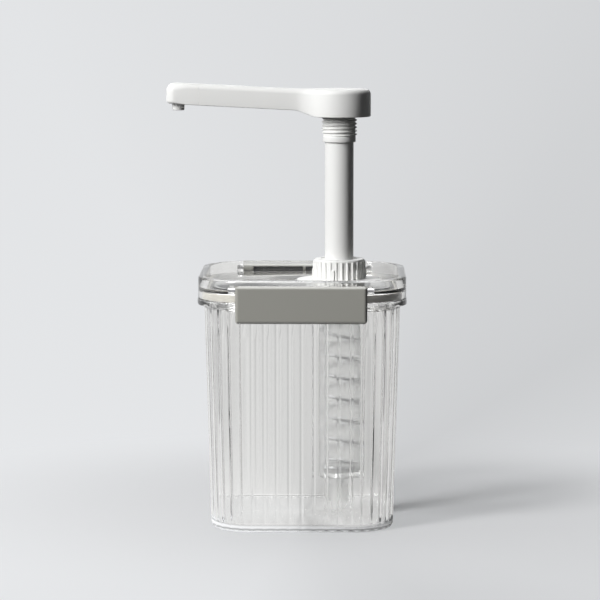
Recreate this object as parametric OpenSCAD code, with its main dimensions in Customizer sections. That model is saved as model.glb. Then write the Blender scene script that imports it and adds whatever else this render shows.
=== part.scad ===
// Syrup pump on a fluted, clip-lidded storage tank, in millimetres.
// The origin is the middle of the tank's underside, +Z is up and the front is towards -Y.
// Heights build up from the tank: gasket, lid panel, pump flange, collar, then the stroke and the head.

/* [Tank] */
// Outer width of the square tank at its foot, over the crests of the flutes
tank_foot_w = 107; // [102:0.5:110]
// Outer width of the tank just under its flange, over the crests
tank_top_w = 115; // [112:0.5:118]
// Corner radius of the tank at its foot; the draft adds to it upwards
tank_corner_r = 24.5; // [20:0.5:28]
// Height of the tank's sealing face, the top of its flange
tank_h = 135.5; // [132:0.5:150]
// Wall between the bottom of a flute and the inside
tank_wall = 2.4; // [1.6:0.1:3.2]
// Thickness of the tank's floor
tank_floor = 3; // [2:0.1:4]
// Rounding of the bottom edge, outside and inside
foot_fillet = 3; // [1:0.1:4]
// Thickness of the flange round the tank's mouth
mouth_flange_t = 3.5; // [2.5:0.1:4.5]
// How far the flange stands out from the tank's wall
mouth_flange_out = 3.8; // [3:0.1:5]

/* [Flutes] */
// Flutes along each flat side
flutes_side = 8; // [4:1:10]
// Flutes round each corner
flutes_corner = 6; // [3:1:8]
// Depth of a flute below its crests
flute_depth = 0.8; // [0.3:0.1:1.2]
// Width of the crest between two flutes at the foot
flute_crest = 0.3; // [0.2:0.1:1.5]
// Distance between the top of a flute and the flange
flute_stop = 1.2; // [0.5:0.1:4]

/* [Lid] */
// How far the lid's wall stands back from the edge of the tank's flange
lid_inset = 0.4; // [0.2:0.1:1]
// Thickness of the lid's outer wall below its panel
lid_wall = 2.4; // [1.6:0.1:3]
// Gap between the lid's wall and the tank's flange
lid_gap = 0.3; // [0.2:0.1:1]
// Thickness of the lid's panel
panel_t = 2.2; // [1.6:0.1:3]
// Height of the rim above the panel
rim_h = 6; // [4:0.1:9]
// Thickness of the rim above the panel
rim_t = 4.5; // [3:0.1:6]
// Rounding of the rim's outer top edge
rim_outer_fillet = 2.4; // [0.5:0.1:2.6]
// Rounding of the rim's inner top edge
rim_inner_fillet = 1.2; // [0.3:0.1:1.4]
// How far the plug skirt reaches below the panel
plug_h = 10.8; // [8:0.1:14]
// Thickness of the plug skirt
plug_t = 2; // [1.2:0.1:3]
// Gap between the plug skirt and the tank's mouth
plug_gap = 0.5; // [0.3:0.1:0.8]

/* [Lid gasket] */
// Height of the gasket between the tank's flange and the lid's panel
gasket_h = 4.8; // [3:0.1:6]
// Gap between the gasket and the walls on both sides of it
gasket_gap = 0.2; // [0.1:0.05:0.5]
// Rounding of the gasket's edges
gasket_fillet = 0.8; // [0.3:0.1:1.2]

/* [Latches] */
// Width of a latch
latch_w = 76; // [60:1:80]
// Height of a latch
latch_h = 21.8; // [19:0.1:28]
// How far a latch's face stands out from the lid's wall
latch_face_out = 7.1; // [6.6:0.1:9]
// Thickness of a latch's face plate
latch_plate_t = 3.5; // [2.8:0.1:3.9]
// Rounding of the edges of a latch's face
latch_fillet = 2; // [0.5:0.1:2.4]
// Corner radius of a latch, seen from the front
latch_corner_r = 2.6; // [1:0.1:5]
// Distance of the hinge axis out from the lid's wall
hinge_out = 2.9; // [2.7:0.1:3.2]
// Height of the hinge axis above the lid's panel
hinge_rise = 1; // [0.5:0.1:2]
// Gap between a latch's barrel and the lid's wall
barrel_gap = 0.3; // [0.2:0.05:0.5]
// Length of the solid barrel at each end of a latch
barrel_l = 6.4; // [4:0.1:9]
// Thickness of the top wall over the recess in a latch's back
latch_top_t = 1.4; // [1:0.1:1.8]
// Width of the rib in the middle of a latch's recess
latch_rib_w = 1.2; // [0.8:0.1:3]
// Thickness of the hook under the tank's flange
hook_t = 2.6; // [1.8:0.1:3.4]
// How far the hook reaches under the tank's flange
hook_reach = 3.1; // [1.5:0.1:3.3]
// Gap between the hook and the tank's flange
hook_gap = 0.3; // [0.2:0.05:0.6]
// Width of the hook
hook_w = 60; // [30:1:70]
// Width of a hinge ear on the lid
ear_w = 3.5; // [2.5:0.1:5]
// Radius of a hinge ear about the hinge axis
ear_r = 2.2; // [1.8:0.1:2.4]
// How far an ear's root reaches back into the lid's rim
ear_root = 3.6; // [3.2:0.1:4.2]
// Gap between an ear and the end of a latch
ear_gap = 0.35; // [0.2:0.05:0.6]
// Radius of a hinge pin
pin_r = 1; // [0.75:0.05:1.2]
// How far a hinge pin reaches into a latch's barrel
pin_in_latch = 4.5; // [3:0.1:5.5]
// Gap between a hinge pin's end and the bottom of its bore
pin_end_gap = 0.6; // [0.3:0.1:1]
// Radial running clearance of a hinge pin
pin_clear = 0.05; // [0.02:0.01:0.1]

/* [Pump mounting] */
// Distance of the pump's axis to the right of the tank's middle
pump_x = 21.6; // [16:0.1:24]
// Radius of the pump's flange on the lid
pump_flange_r = 25; // [22:0.5:28]
// Thickness of the pump flange at its edge
pump_flange_edge = 1; // [0.6:0.1:2]
// Rise of the pump flange from its edge to the collar
pump_flange_rise = 0.6; // [0.2:0.1:1.5]
// Radius of the flat seat for the collar on the pump flange
collar_seat_r = 16.6; // [16.4:0.1:19]
// Outer radius of the threaded spigot below the pump flange
spigot_r = 15; // [14:0.1:15.6]
// Gap between the spigot and the hole in the lid
spigot_gap = 0.5; // [0.3:0.1:1]
// Outer radius of the neck above the pump flange
neck_r = 13.5; // [13.2:0.1:13.6]
// Height of the neck above the collar's seat
neck_h = 6; // [5:0.1:9]
// Radius of the lock nut under the lid
nut_r = 19.5; // [18.5:0.1:22]
// Height of the lock nut
nut_h = 7; // [5:0.1:8]
// Number of finger grips round the lock nut
nut_grips = 12; // [6:1:24]
// Radius of one finger grip
nut_grip_r = 2; // [1:0.1:2.4]
// Thickness of the gasket between the lid and the lock nut
nut_gasket_t = 2; // [1:0.1:3]
// Radius of that gasket
nut_gasket_r = 18.3; // [16.5:0.1:19]
// Gap between the spigot and the nut and its gasket
thread_gap = 0.15; // [0.1:0.05:0.3]
// How far the spigot reaches below the lock nut
spigot_below = 1.5; // [0.5:0.1:3]

/* [Collar] */
// Radius of the collar between its ribs
collar_r = 15.1; // [14.8:0.1:16]
// Number of grip ribs round the collar
collar_ribs = 28; // [12:1:40]
// How far a rib stands out
collar_rib_out = 0.65; // [0.2:0.05:0.8]
// Radius of the round back of a rib
collar_rib_r = 0.8; // [0.4:0.1:1]
// Height of the plain band above the ribs
collar_band_h = 1.4; // [1:0.1:3]
// Rounding of the collar's top edge
collar_fillet = 1.2; // [0.3:0.1:1.6]
// Thickness of the collar's top
collar_top_t = 2; // [1.2:0.1:3]
// Radius of the opening in the collar's top
collar_opening_r = 10.9; // [10.8:0.1:12]
// Gap between the collar and the neck
collar_gap = 0.3; // [0.15:0.05:0.5]
// Number of stop lugs round the collar's foot
collar_lugs = 6; // [3:1:8]
// Height of a stop lug
collar_lug_h = 5.9; // [3:0.1:8]
// Width of a stop lug
collar_lug_w = 2.4; // [1.5:0.1:4]
// Distance of a lug's outer face from the axis
collar_lug_r = 16.3; // [16:0.1:16.6]
// Turn of the lugs, measured from the front
collar_lug_turn = -15; // [-30:1:30]

/* [Pump housing] */
// Outer radius of the housing
housing_r = 12; // [11.6:0.1:12.4]
// Inner radius of the housing, the pump's bore
bore_r = 10.5; // [10.3:0.05:10.8]
// Height of the housing's bottom above the tank's floor
housing_rise = 22; // [20:0.1:40]
// Thickness of the housing's bottom
housing_floor = 3; // [2:0.1:4]
// Gap between the housing and the neck's bore
housing_gap = 0.25; // [0.15:0.05:0.4]
// Radius of the housing's lip, the gasket under it and the guide's flange on it
lip_r = 13.3; // [12.9:0.1:13.4]
// Thickness of the housing's lip
lip_t = 2; // [1.2:0.1:3]
// Thickness of the gasket under the lip
lip_gasket_t = 1; // [0.5:0.1:2]
// Outer radius of the inlet spigot below the housing
inlet_r = 6.25; // [6:0.05:8]
// Length of the inlet spigot
inlet_h = 15; // [13:0.1:16]
// Outer radius of the dip tube
dip_r = 5; // [4.5:0.1:5.2]
// Wall of the dip tube
dip_wall = 1.2; // [0.8:0.1:1.8]
// Gap between the dip tube's end and the tank's floor
dip_gap = 1.5; // [1:0.1:3]
// Slant of the cut across the dip tube's lower end, in degrees
dip_slant = 30; // [15:1:45]
// Slack between the dip tube and its socket
dip_slack = 0.05; // [0.02:0.01:0.1]

/* [Valves] */
// Radius of the inlet ball
inlet_ball_r = 3.6; // [3.2:0.1:4]
// Radius of the hole that the inlet ball closes
inlet_hole_r = 2.6; // [2:0.1:2.9]
// Lift of the inlet ball
inlet_lift = 2.5; // [1:0.1:3]
// Thickness of the web that carries the inlet seat
inlet_seat_t = 2; // [1.5:0.1:3]
// Gap round the inlet ball in its chamber
inlet_ball_gap = 1; // [0.5:0.1:1.2]
// Wall of the inlet ball's cage
cage_wall = 1; // [0.7:0.1:1.5]
// Thickness of the cage's flange, which carries the spring
cage_flange_t = 1.2; // [0.8:0.1:2]
// Gap between the cage's flange and the bore
cage_gap = 0.3; // [0.2:0.05:0.5]
// Number of windows in the cage
cage_windows = 3; // [2:1:4]
// Width of a window
cage_window_w = 4; // [2:0.1:5]
// Radius of the outlet ball
outlet_ball_r = 3.5; // [3.2:0.1:4]
// Radius of the hole that the outlet ball closes
outlet_hole_r = 2.6; // [2:0.1:2.9]
// Lift of the outlet ball
outlet_lift = 3; // [1:0.1:4]
// Thickness of the outlet ball's stop
stop_t = 2; // [1:0.1:3]
// Number of flow holes in the stop
stop_holes = 3; // [3:1:5]
// Radius of a flow hole
stop_hole_r = 1.5; // [1:0.1:1.7]
// Distance of the flow holes from the axis
stop_hole_pitch = 3.8; // [3.4:0.1:4.2]
// Gap between a resting ball and its seat, and between a lifted ball and its stop
ball_gap = 0.1; // [0.05:0.05:0.3]

/* [Plunger] */
// Stroke of the plunger
stroke = 68; // [50:0.5:70]
// Outer radius of the stem
stem_r = 8.45; // [8.2:0.05:8.6]
// Wall of the stem
stem_wall = 2.25; // [1.5:0.05:2.6]
// Radial running clearance of the stem in its guide and in the piston
stem_clear = 0.05; // [0.02:0.01:0.1]
// Height of the piston
piston_h = 16; // [14:0.1:18]
// Gap between the piston's body and the bore
piston_gap = 0.3; // [0.2:0.05:0.5]
// Thickness of the piston's crown, which holds the outlet seat
crown_t = 2.8; // [2:0.1:3.4]
// Height of the ball chamber between the crown and the stem
chamber_h = 2.5; // [1.5:0.1:3]
// Radius of the ball chamber
chamber_r = 5.2; // [4.6:0.1:6]
// Height of the piston's seal
seal_h = 3.8; // [2:0.1:5]
// Depth of the seal's groove in the piston
seal_depth = 0.9; // [0.5:0.05:1]
// Height of the seal's groove above the stem's seat
seal_rise = 1.2; // [0.5:0.1:3]
// Gap between the seal and the sides of its groove
seal_gap = 0.1; // [0.05:0.05:0.3]
// Radial running clearance of the seal in the bore
seal_clear = 0.06; // [0.02:0.01:0.1]
// Gap between the stem's end and its seat in the piston
stem_end_gap = 0.3; // [0.1:0.05:0.5]
// Gap between the raised piston and the guide
piston_stop_gap = 0.3; // [0.1:0.05:1]

/* [Stem guide] */
// Length of the guide below its flange
guide_l = 13.6; // [8:0.1:20]
// Thickness of the guide's flange
guide_flange_t = 0.7; // [0.5:0.1:1.5]
// Radius of the guide's neck in the collar's opening
guide_neck_r = 10.6; // [10.3:0.05:10.7]
// How far the guide's neck stops below the collar's top
guide_neck_drop = 0.4; // [0.2:0.1:1]
// Gap between the guide's tube and the bore
guide_gap = 0.15; // [0.1:0.05:0.3]
// Height of the wiper ring in the guide's neck
wiper_h = 1; // [0.6:0.1:1.2]
// Radial width of the wiper ring
wiper_w = 1.1; // [0.8:0.1:1.3]
// Gap round the wiper ring in its groove
wiper_gap = 0.05; // [0.02:0.01:0.1]
// Plain wall over the wiper ring
wiper_cover = 0.3; // [0.2:0.1:0.5]

/* [Spring] */
// Thickness of the spring's wire
wire_d = 1.6; // [1:0.1:2]
// Radius of the spring at the middle of its wire
spring_r = 9.3; // [8.6:0.05:9.4]
// Number of open turns
spring_turns = 7; // [5:0.5:9]
// Rise of the closed turn at each end
end_turn_rise = 2.2; // [2.1:0.1:3]
// Gap between the spring and its seats
spring_gap = 0.15; // [0.05:0.05:0.3]

/* [Head] */
// Gap between the head's sleeve and the collar at the bottom of the stroke
press_gap = 1.3; // [0.5:0.1:4]
// Radius of the plain ring at the sleeve's foot
sleeve_ring_r = 9.7; // [9.5:0.05:10.2]
// Height of that ring
sleeve_ring_h = 3.4; // [2:0.1:6]
// Radius of the sleeve above the ring, at the root of its thread
sleeve_r = 9.5; // [9.3:0.05:9.8]
// Height of the threaded part of the sleeve
sleeve_h = 11.7; // [8:0.1:16]
// Radius of the head's boss
boss_r = 18.6; // [17:0.1:22]
// Height of the boss
boss_h = 16.2; // [15.5:0.1:20]
// Rounding of the boss's top edge
boss_top_fillet = 2.4; // [0.5:0.1:4]
// Rounding of the boss's bottom edge
boss_bottom_fillet = 1; // [0.3:0.1:2]
// How deep the stem goes into the boss
stem_in_boss = 7; // [5:0.1:9]
// Slack between the stem and its socket in the head
socket_slack = 0.05; // [0.02:0.01:0.1]
// Distance of the spout's end from the stem's axis
spout_reach = 102.2; // [90:0.1:120]
// Height of the spout's arm
arm_h = 12.4; // [11:0.1:13]
// Width of the spout's arm
arm_w = 15.6; // [13:0.1:18]
// Rise of the arm for each millimetre away from the axis
arm_slope = 0.05; // [0.02:0.005:0.08]
// How far the arm's top lies below the boss's top where they meet
arm_drop = 0.3; // [0:0.1:1]
// Radius of the arm's corners seen from above
arm_corner_r = 5.2; // [3.7:0.1:6]
// Rounding of the arm's top edges
arm_top_fillet = 3.4; // [1:0.1:3.6]
// Rounding of the arm's bottom edges
arm_bottom_fillet = 1.4; // [0.5:0.1:2]
// Distance from the axis where the arm has flared out to the boss
flare_start = 13; // [10:0.1:14]
// Half width of the flare inside the boss
flare_half_w = 13.1; // [9:0.1:13.8]
// Distance from the axis where the flare ends and the arm begins
flare_end = 35; // [28:0.1:40]
// Steps along the flare
flare_steps = 3; // [1:1:3]
// Radius of the channel through the arm
channel_r = 3.2; // [2.5:0.1:3.4]

/* [Spout tip] */
// Length of the spout's tip piece
tip_l = 19.3; // [17:0.1:24]
// Joint gap between the tip piece and the arm
tip_gap = 0.15; // [0.05:0.05:0.3]
// Outer radius of the tip's plug in the arm
tip_plug_r = 4.4; // [4.2:0.1:4.6]
// Length of that plug
tip_plug_l = 6; // [4:0.1:9]
// Slack round the plug
tip_plug_slack = 0.05; // [0.02:0.01:0.1]
// Distance of the outlet's axis from the spout's end
outlet_back = 6.9; // [6:0.1:8]
// Outer radius of the outlet nozzle
outlet_r = 3.6; // [3:0.1:4]
// Bore radius of the outlet nozzle
outlet_bore_r = 2.3; // [1.5:0.1:2.5]
// How far the outlet nozzle hangs below the arm
outlet_below = 3.7; // [2:0.1:6]
// How far the outlet nozzle goes up into the tip
outlet_in = 3.6; // [2.5:0.1:4.5]
// Rounding of the outlet nozzle's lower edge
outlet_fillet = 0.6; // [0.2:0.1:1]

/* [Hidden] */
$fn = 96;
hull_fn = 32;
// Small amount by which cuts run past the faces that they open
past = 1;
// Rings round one turn of the spring and sides of its wire
turn_rings = 8;
wire_sides = 6;

// Colours
clear_colour = [0.86, 0.88, 0.89, 0.35];
white_colour = [0.95, 0.95, 0.94];
milky_colour = [0.93, 0.93, 0.92, 0.6];
grey_colour = [0.53, 0.53, 0.5];
cream_colour = [0.9, 0.86, 0.78];
steel_colour = [0.66, 0.67, 0.68];

// Heights of the tank and the lid
mouth_flange_z = tank_h - mouth_flange_t;
panel_z = tank_h + gasket_h;
panel_top = panel_z + panel_t;
rim_top = panel_top + rim_h;
// Widths and radii of the tank and the lid, whose corners all turn about the same four axes
corner_at = tank_foot_w / 2 - tank_corner_r;
tank_draft = (tank_top_w - tank_foot_w) / 2;
tank_tilt = atan(tank_draft / mouth_flange_z);
tank_skin = tank_wall + flute_depth;
tank_top_r = tank_top_w / 2 - corner_at;
mouth_flange_w = tank_top_w + 2 * mouth_flange_out;
mouth_w = tank_top_w - 2 * tank_skin;
mouth_r = tank_top_r - tank_skin;
lid_w = mouth_flange_w - 2 * lid_inset;
lid_r = tank_top_r + mouth_flange_out - lid_inset;
lid_bay_w = lid_w - 2 * lid_wall;
plug_w = mouth_w - 2 * plug_gap;
plug_r = mouth_r - plug_gap;
gasket_w = plug_w + 2 * gasket_gap;
gasket_t = (lid_bay_w - gasket_w) / 2 - gasket_gap;
gasket_outer_w = gasket_w + 2 * gasket_t;
gasket_outer_r = lid_r - lid_wall - gasket_gap;

// Latch hinge, with distances out from the lid's wall
hinge_z = panel_top + hinge_rise;
hinge_y = lid_w / 2 + hinge_out;
barrel_r = hinge_out - barrel_gap;
latch_top = hinge_z + barrel_r;
latch_bottom = latch_top - latch_h;
plate_in = latch_face_out - latch_plate_t;
hook_top = mouth_flange_z - hook_gap;
hook_tip = lid_inset - hook_reach;
recess_half_w = latch_w / 2 - barrel_l;
ear_in = latch_w / 2 + ear_gap;
pin_end = ear_in + ear_w;
pin_start = latch_w / 2 - pin_in_latch;

// Pump stack, upwards from the lid's panel
collar_seat = panel_top + pump_flange_edge + pump_flange_rise;
neck_top = collar_seat + neck_h;
lip_z = neck_top + lip_gasket_t;
lip_top = lip_z + lip_t;
guide_flange_top = lip_top + guide_flange_t;
collar_top = guide_flange_top + collar_top_t;
neck_bore_r = housing_r + housing_gap;
collar_bore_r = neck_r + collar_gap;
// Lock nut, downwards from the lid's panel
hole_r = spigot_r + spigot_gap;
thread_r = spigot_r + thread_gap;
nut_top = panel_z - nut_gasket_t;
nut_z = nut_top - nut_h;
spigot_z = nut_z - spigot_below;

// Housing, inlet valve and dip tube
housing_z = tank_floor + housing_rise;
cage_z = housing_z + housing_floor;
spring_foot = cage_z + cage_flange_t;
inlet_z = housing_z - inlet_h;
ball_chamber_r = inlet_ball_r + inlet_ball_gap;
inlet_drop = sqrt(pow(inlet_ball_r, 2) - pow(inlet_hole_r, 2));
inlet_ball_z = spring_foot + cage_wall - inlet_lift - ball_gap - inlet_ball_r;
inlet_seat = inlet_ball_z - inlet_drop - ball_gap;
dip_top = inlet_seat - inlet_seat_t;
dip_z = tank_floor + dip_gap;
cage_r = ball_chamber_r + cage_wall;
cage_roof = spring_foot + cage_wall;

// Plunger at rest, raised against the guide
guide_z = lip_top - guide_l;
piston_top = guide_z - piston_stop_gap;
piston_z = piston_top - piston_h;
piston_r = bore_r - piston_gap;
outlet_seat = piston_z + crown_t;
stem_seat = outlet_seat + chamber_h;
stem_z = stem_seat + stem_end_gap;
stem_bore_r = stem_r - stem_wall;
stem_run_r = stem_r + stem_clear;
outlet_drop = sqrt(pow(outlet_ball_r, 2) - pow(outlet_hole_r, 2));
outlet_ball_z = outlet_seat + outlet_drop + ball_gap;
stop_z = outlet_ball_z + outlet_ball_r + outlet_lift + ball_gap;
seal_z = stem_seat + seal_rise;
seal_groove_r = piston_r - seal_depth;
spring_top = piston_z - spring_gap;
spring_z = spring_foot + spring_gap;

// Head above the stroke
sleeve_z = collar_top + stroke + press_gap;
thread_z = sleeve_z + sleeve_ring_h;
boss_z = thread_z + sleeve_h;
boss_top = boss_z + boss_h;
stem_top = boss_z + stem_in_boss;
socket_r = stem_r + socket_slack;
arm_top_at_boss = boss_top - arm_drop;
tip_joint = spout_reach - tip_l;
outlet_d = spout_reach - outlet_back;
arm_tilt = atan(arm_slope);

// Height of the arm's underside at a distance from the stem's axis
function arm_z(d) = arm_top_at_boss + (d - boss_r) * arm_slope - arm_h;

// Half width of the drafted tank at a height, drawn in by an inset
function half_at(z, inset) = tank_foot_w / 2 + tank_draft * z / mouth_flange_z - inset;

// Radius of a round cut with a given width and the flutes' depth
function flute_r(w) = (pow(w / 2, 2) + pow(flute_depth, 2)) / (2 * flute_depth);
side_flute_w = 2 * corner_at / flutes_side - flute_crest;
corner_flute_turn = 90 / flutes_corner;
corner_flute_w = 2 * tank_corner_r * sin(corner_flute_turn / 2) - flute_crest;

// Triangles of the skin between ring j and ring j + 1, each with n points
function skin(j, n) = [
    for (k = [0 : n - 1])
        let (a = j * n + k, b = j * n + (k + 1) % n)
        each [[a, a + n, b + n], [a, b + n, b]]
];
// Faces of a closed skin over the rings 0 to last, with a flat cap at each end
function closed_skin(last, n) = concat(
    [[for (k = [0 : n - 1]) k]],
    [for (j = [0 : last - 1]) each skin(j, n)],
    [[for (k = [n - 1 : -1 : 0]) last * n + k]]
);

// Path of the spring's wire: a closed turn, the open turns and a closed turn, left-handed
spring_all_turns = spring_turns + 2;
spring_low = spring_z + wire_d / 2;
spring_high = spring_top - wire_d / 2;
spring_pitch = (spring_high - spring_low - 2 * end_turn_rise) / spring_turns;
spring_rings = spring_all_turns * turn_rings;
function spring_height(t) =
    t < 1 ? spring_low + end_turn_rise * t
    : t > spring_all_turns - 1 ? spring_high - end_turn_rise * (spring_all_turns - t)
    : spring_low + end_turn_rise + spring_pitch * (t - 1);
function spring_point(t) = [spring_r * cos(-360 * t), spring_r * sin(-360 * t), spring_height(t)];
wire_path = [for (i = [0 : spring_rings]) spring_point(i / turn_rings)];
// The wire's ends run straight on for one wire thickness
function unit(v) = v / norm(v);
function level(v) = [v[0], v[1], 0];
function spring_heading(t) = [sin(-360 * t), -cos(-360 * t), 0];
wire_head = wire_path[0] - spring_heading(0) * wire_d;
wire_tail = wire_path[spring_rings] + spring_heading(spring_all_turns) * wire_d;
wire = concat([wire_head], wire_path, [wire_tail]);
wire_last = len(wire) - 1;
function wire_along(i) = unit(wire[min(i + 1, wire_last)] - wire[max(i - 1, 0)]);
function wire_ring(i) =
    let (along = wire_along(i), out = unit(level(wire[i])), side = unit(cross(along, out)))
    let (across = cross(side, along))
    [for (k = [0 : wire_sides - 1])
        wire[i] + wire_d / 2 * (across * cos(360 * k / wire_sides) + side * sin(360 * k / wire_sides))];
wire_points = [for (i = [0 : wire_last]) each wire_ring(i)];
// Least gap between one turn of the wire and the next, over points at least three quarters of a turn apart
turn_apart = turn_rings * 3 / 4;
spring_gaps = [
    for (i = [0 : wire_last], j = [i + turn_apart : min(i + 2 * turn_rings, wire_last)])
        norm(wire[i] - wire[j]) - wire_d
];
echo(least_spring_gap = min(spring_gaps));

// Rectangle with its corners rounded, between two opposite corners
module rounded_rect(low, high, r) {
    size = high - low;
    translate(low + [r, 0]) square([size[0] - 2 * r, size[1]]);
    translate(low + [0, r]) square([size[0], size[1] - 2 * r]);
    for (x = [low[0] + r, high[0] - r], y = [low[1] + r, high[1] - r])
        translate([x, y]) circle(r);
}

// Rounded square, centred
module rounded_square(w, r) {
    rounded_rect([-w / 2, -w / 2], [w / 2, w / 2], r);
}

// Carries a profile round a rounded square; its x is measured outwards from the square's outline
module square_ring(w, r) {
    for (k = [0 : 3]) rotate([0, 0, 90 * k]) {
        translate([w / 2, 0, 0]) rotate([90, 0, 0])
            linear_extrude(height = w - 2 * r, center = true) children();
        translate([w / 2 - r, w / 2 - r, 0]) rotate_extrude(angle = 90) translate([r, 0]) children();
    }
}

// Ring or tube about the pump's axis
module tube(r_out, r_in, low, high) {
    translate([0, 0, low]) difference() {
        cylinder(r = r_out, h = high - low);
        translate([0, 0, -past]) cylinder(r = r_in, h = high - low + 2 * past);
    }
}

// Solid round about the pump's axis
module rod(r, low, high) {
    translate([0, 0, low]) cylinder(r = r, h = high - low);
}

module at_pump() {
    translate([pump_x, 0, 0]) children();
}

// Places what is drawn for the front again at the rear
module at_rear() {
    rotate([0, 0, 180]) children();
}

// Carries a profile of distance out from the lid's front wall and height along X
module along_front(l) {
    translate([0, -lid_w / 2, 0]) rotate([0, 0, -90]) rotate([90, 0, 0])
        linear_extrude(height = l, center = true) children();
}

// Drafted block with round corners and a rounded bottom edge, drawn in from the tank's outside by an inset
module drafted_block(inset, low, high) {
    foot = low + foot_fillet;
    a = half_at(foot, inset);
    b = half_at(high, inset);
    for (x = [-1, 1], y = [-1, 1]) translate([x * corner_at, y * corner_at, foot])
        cylinder(r1 = a - corner_at, r2 = b - corner_at, h = high - foot);
    for (turn = [0, 90]) rotate([90, 0, turn]) linear_extrude(height = 2 * corner_at, center = true)
        polygon([[-a, foot], [a, foot], [b, high], [-b, high]]);
    square_ring(2 * a, a - corner_at) translate([-foot_fillet, foot]) circle(foot_fillet);
    translate([0, 0, low]) linear_extrude(height = 2 * foot_fillet)
        rounded_square(2 * (a - foot_fillet), a - corner_at - foot_fillet);
}

// Round cut up the tank's wall, with the wall's outside at x = 0 at the foot
module flute_cut(w) {
    l = (mouth_flange_z - flute_stop) / cos(tank_tilt);
    rotate([0, tank_tilt, 0]) translate([flute_r(w) - flute_depth, 0, -past])
        cylinder(r = flute_r(w), h = l + past);
}

module flutes() {
    for (k = [0 : 3]) rotate([0, 0, 90 * k]) {
        for (i = [0 : flutes_side - 1])
            translate([tank_foot_w / 2, 2 * corner_at * ((i + 0.5) / flutes_side - 0.5), 0])
            flute_cut(side_flute_w);
        for (i = [0 : flutes_corner - 1]) translate([corner_at, corner_at, 0])
            rotate([0, 0, corner_flute_turn * (i + 0.5)]) translate([tank_corner_r, 0, 0])
            flute_cut(corner_flute_w);
    }
}

// Tank: a drafted, fluted shell with a flange round its mouth
module tank() {
    color(clear_colour) difference() {
        union() {
            difference() {
                drafted_block(0, 0, mouth_flange_z + mouth_flange_t / 2);
                flutes();
            }
            translate([0, 0, mouth_flange_z]) linear_extrude(height = mouth_flange_t)
                rounded_square(mouth_flange_w, tank_top_r + mouth_flange_out);
        }
        drafted_block(tank_skin, tank_floor, tank_h + past);
    }
}

// Lid: a panel between a rim and a plug skirt, with hinge ears outside and a hole for the pump
module lid_rim_profile() {
    inner = -rim_t;
    translate([-lid_wall, tank_h + lid_gap]) square([lid_wall, panel_top - tank_h - lid_gap]);
    translate([inner, panel_z + panel_t / 3]) square([rim_t, rim_h + panel_t * 2 / 3 - rim_outer_fillet]);
    translate([inner, panel_top]) square([rim_t - rim_outer_fillet, rim_h - rim_inner_fillet]);
    translate([inner + rim_inner_fillet, panel_top])
        square([rim_t - rim_inner_fillet - rim_outer_fillet, rim_h]);
    translate([inner + rim_inner_fillet, rim_top - rim_inner_fillet]) circle(rim_inner_fillet);
    translate([-rim_outer_fillet, rim_top - rim_outer_fillet]) circle(rim_outer_fillet);
}

module hinge_ears() {
    for (side = [-1, 1]) translate([side * (ear_in + ear_w / 2), 0, 0]) along_front(ear_w) {
        translate([hinge_out, hinge_z]) circle(ear_r);
        translate([-ear_root, hinge_z - ear_r]) square([hinge_out + ear_root, 2 * ear_r]);
    }
}

// Rounds on the hinge axis at both ends of a latch, between two distances from the middle
module hinge_rounds(r, from, to) {
    for (side = [-1, 1]) translate([side * (from + to) / 2, 0, 0]) along_front(to - from)
        translate([hinge_out, hinge_z]) circle(r);
}

module lid() {
    color(clear_colour) difference() {
        union() {
            square_ring(lid_w, lid_r) lid_rim_profile();
            translate([0, 0, panel_z]) linear_extrude(height = panel_t)
                rounded_square(lid_w - lid_wall, lid_r - lid_wall / 2);
            square_ring(plug_w, plug_r)
                translate([-plug_t, panel_z - plug_h]) square([plug_t, plug_h + panel_t / 2]);
            hinge_ears();
            at_rear() hinge_ears();
        }
        at_pump() rod(hole_r, panel_z - past, panel_top + past);
        hinge_rounds(pin_r + pin_clear, ear_in - past, pin_end + past);
        at_rear() hinge_rounds(pin_r + pin_clear, ear_in - past, pin_end + past);
    }
}

module lid_gasket() {
    color(cream_colour) square_ring(gasket_outer_w, gasket_outer_r)
        rounded_rect([-gasket_t, tank_h], [0, panel_z], gasket_fillet);
}

// Latch: a face plate that hangs from a barrel between the lid's ears and hooks under the tank's flange
module latch_plate_profile() {
    f = latch_fillet;
    translate([plate_in, latch_bottom]) square([latch_plate_t - f, latch_h]);
    translate([plate_in, latch_bottom + f]) square([latch_plate_t, latch_h - 2 * f]);
    for (z = [latch_bottom + f, latch_top - f]) translate([latch_face_out - f, z]) circle(f);
}

module latch_barrel_profile() {
    translate([hinge_out, hinge_z]) circle(barrel_r);
    translate([hinge_out, hinge_z - barrel_r]) square([plate_in - hinge_out + past, 2 * barrel_r]);
}

module latch_hook_profile() {
    tip_r = hook_t / 2;
    translate([hook_tip + tip_r, hook_top - hook_t]) square([plate_in - hook_tip - tip_r + past, hook_t]);
    translate([hook_tip + tip_r, hook_top - tip_r]) circle(tip_r);
}

module latch() {
    color(grey_colour) difference() {
        union() {
            intersection() {
                along_front(latch_w) latch_plate_profile();
                translate([0, -lid_w / 2, (latch_top + latch_bottom) / 2]) rotate([90, 0, 0])
                    linear_extrude(height = latch_face_out + past)
                    rounded_rect([-latch_w / 2, -latch_h / 2], [latch_w / 2, latch_h / 2], latch_corner_r);
                translate([0, -lid_w / 2, latch_bottom - past]) linear_extrude(height = latch_h + 2 * past)
                    rounded_rect([-latch_w / 2, -latch_face_out], [latch_w / 2, 0], latch_fillet);
            }
            along_front(latch_w - 2 * latch_fillet) latch_barrel_profile();
            for (side = [-1, 1]) translate([side * (latch_w - barrel_l) / 2, 0, 0])
                along_front(barrel_l) latch_barrel_profile();
            along_front(hook_w) latch_hook_profile();
        }
        for (side = [-1, 1])
            translate([side * (recess_half_w + latch_rib_w / 2) / 2, 0, 0])
                along_front(recess_half_w - latch_rib_w / 2)
                translate([0, hinge_z - barrel_r - past])
                square([plate_in, 2 * barrel_r + past - latch_top_t]);
        hinge_rounds(pin_r + pin_clear, pin_start - pin_end_gap, pin_end);
    }
}

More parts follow.
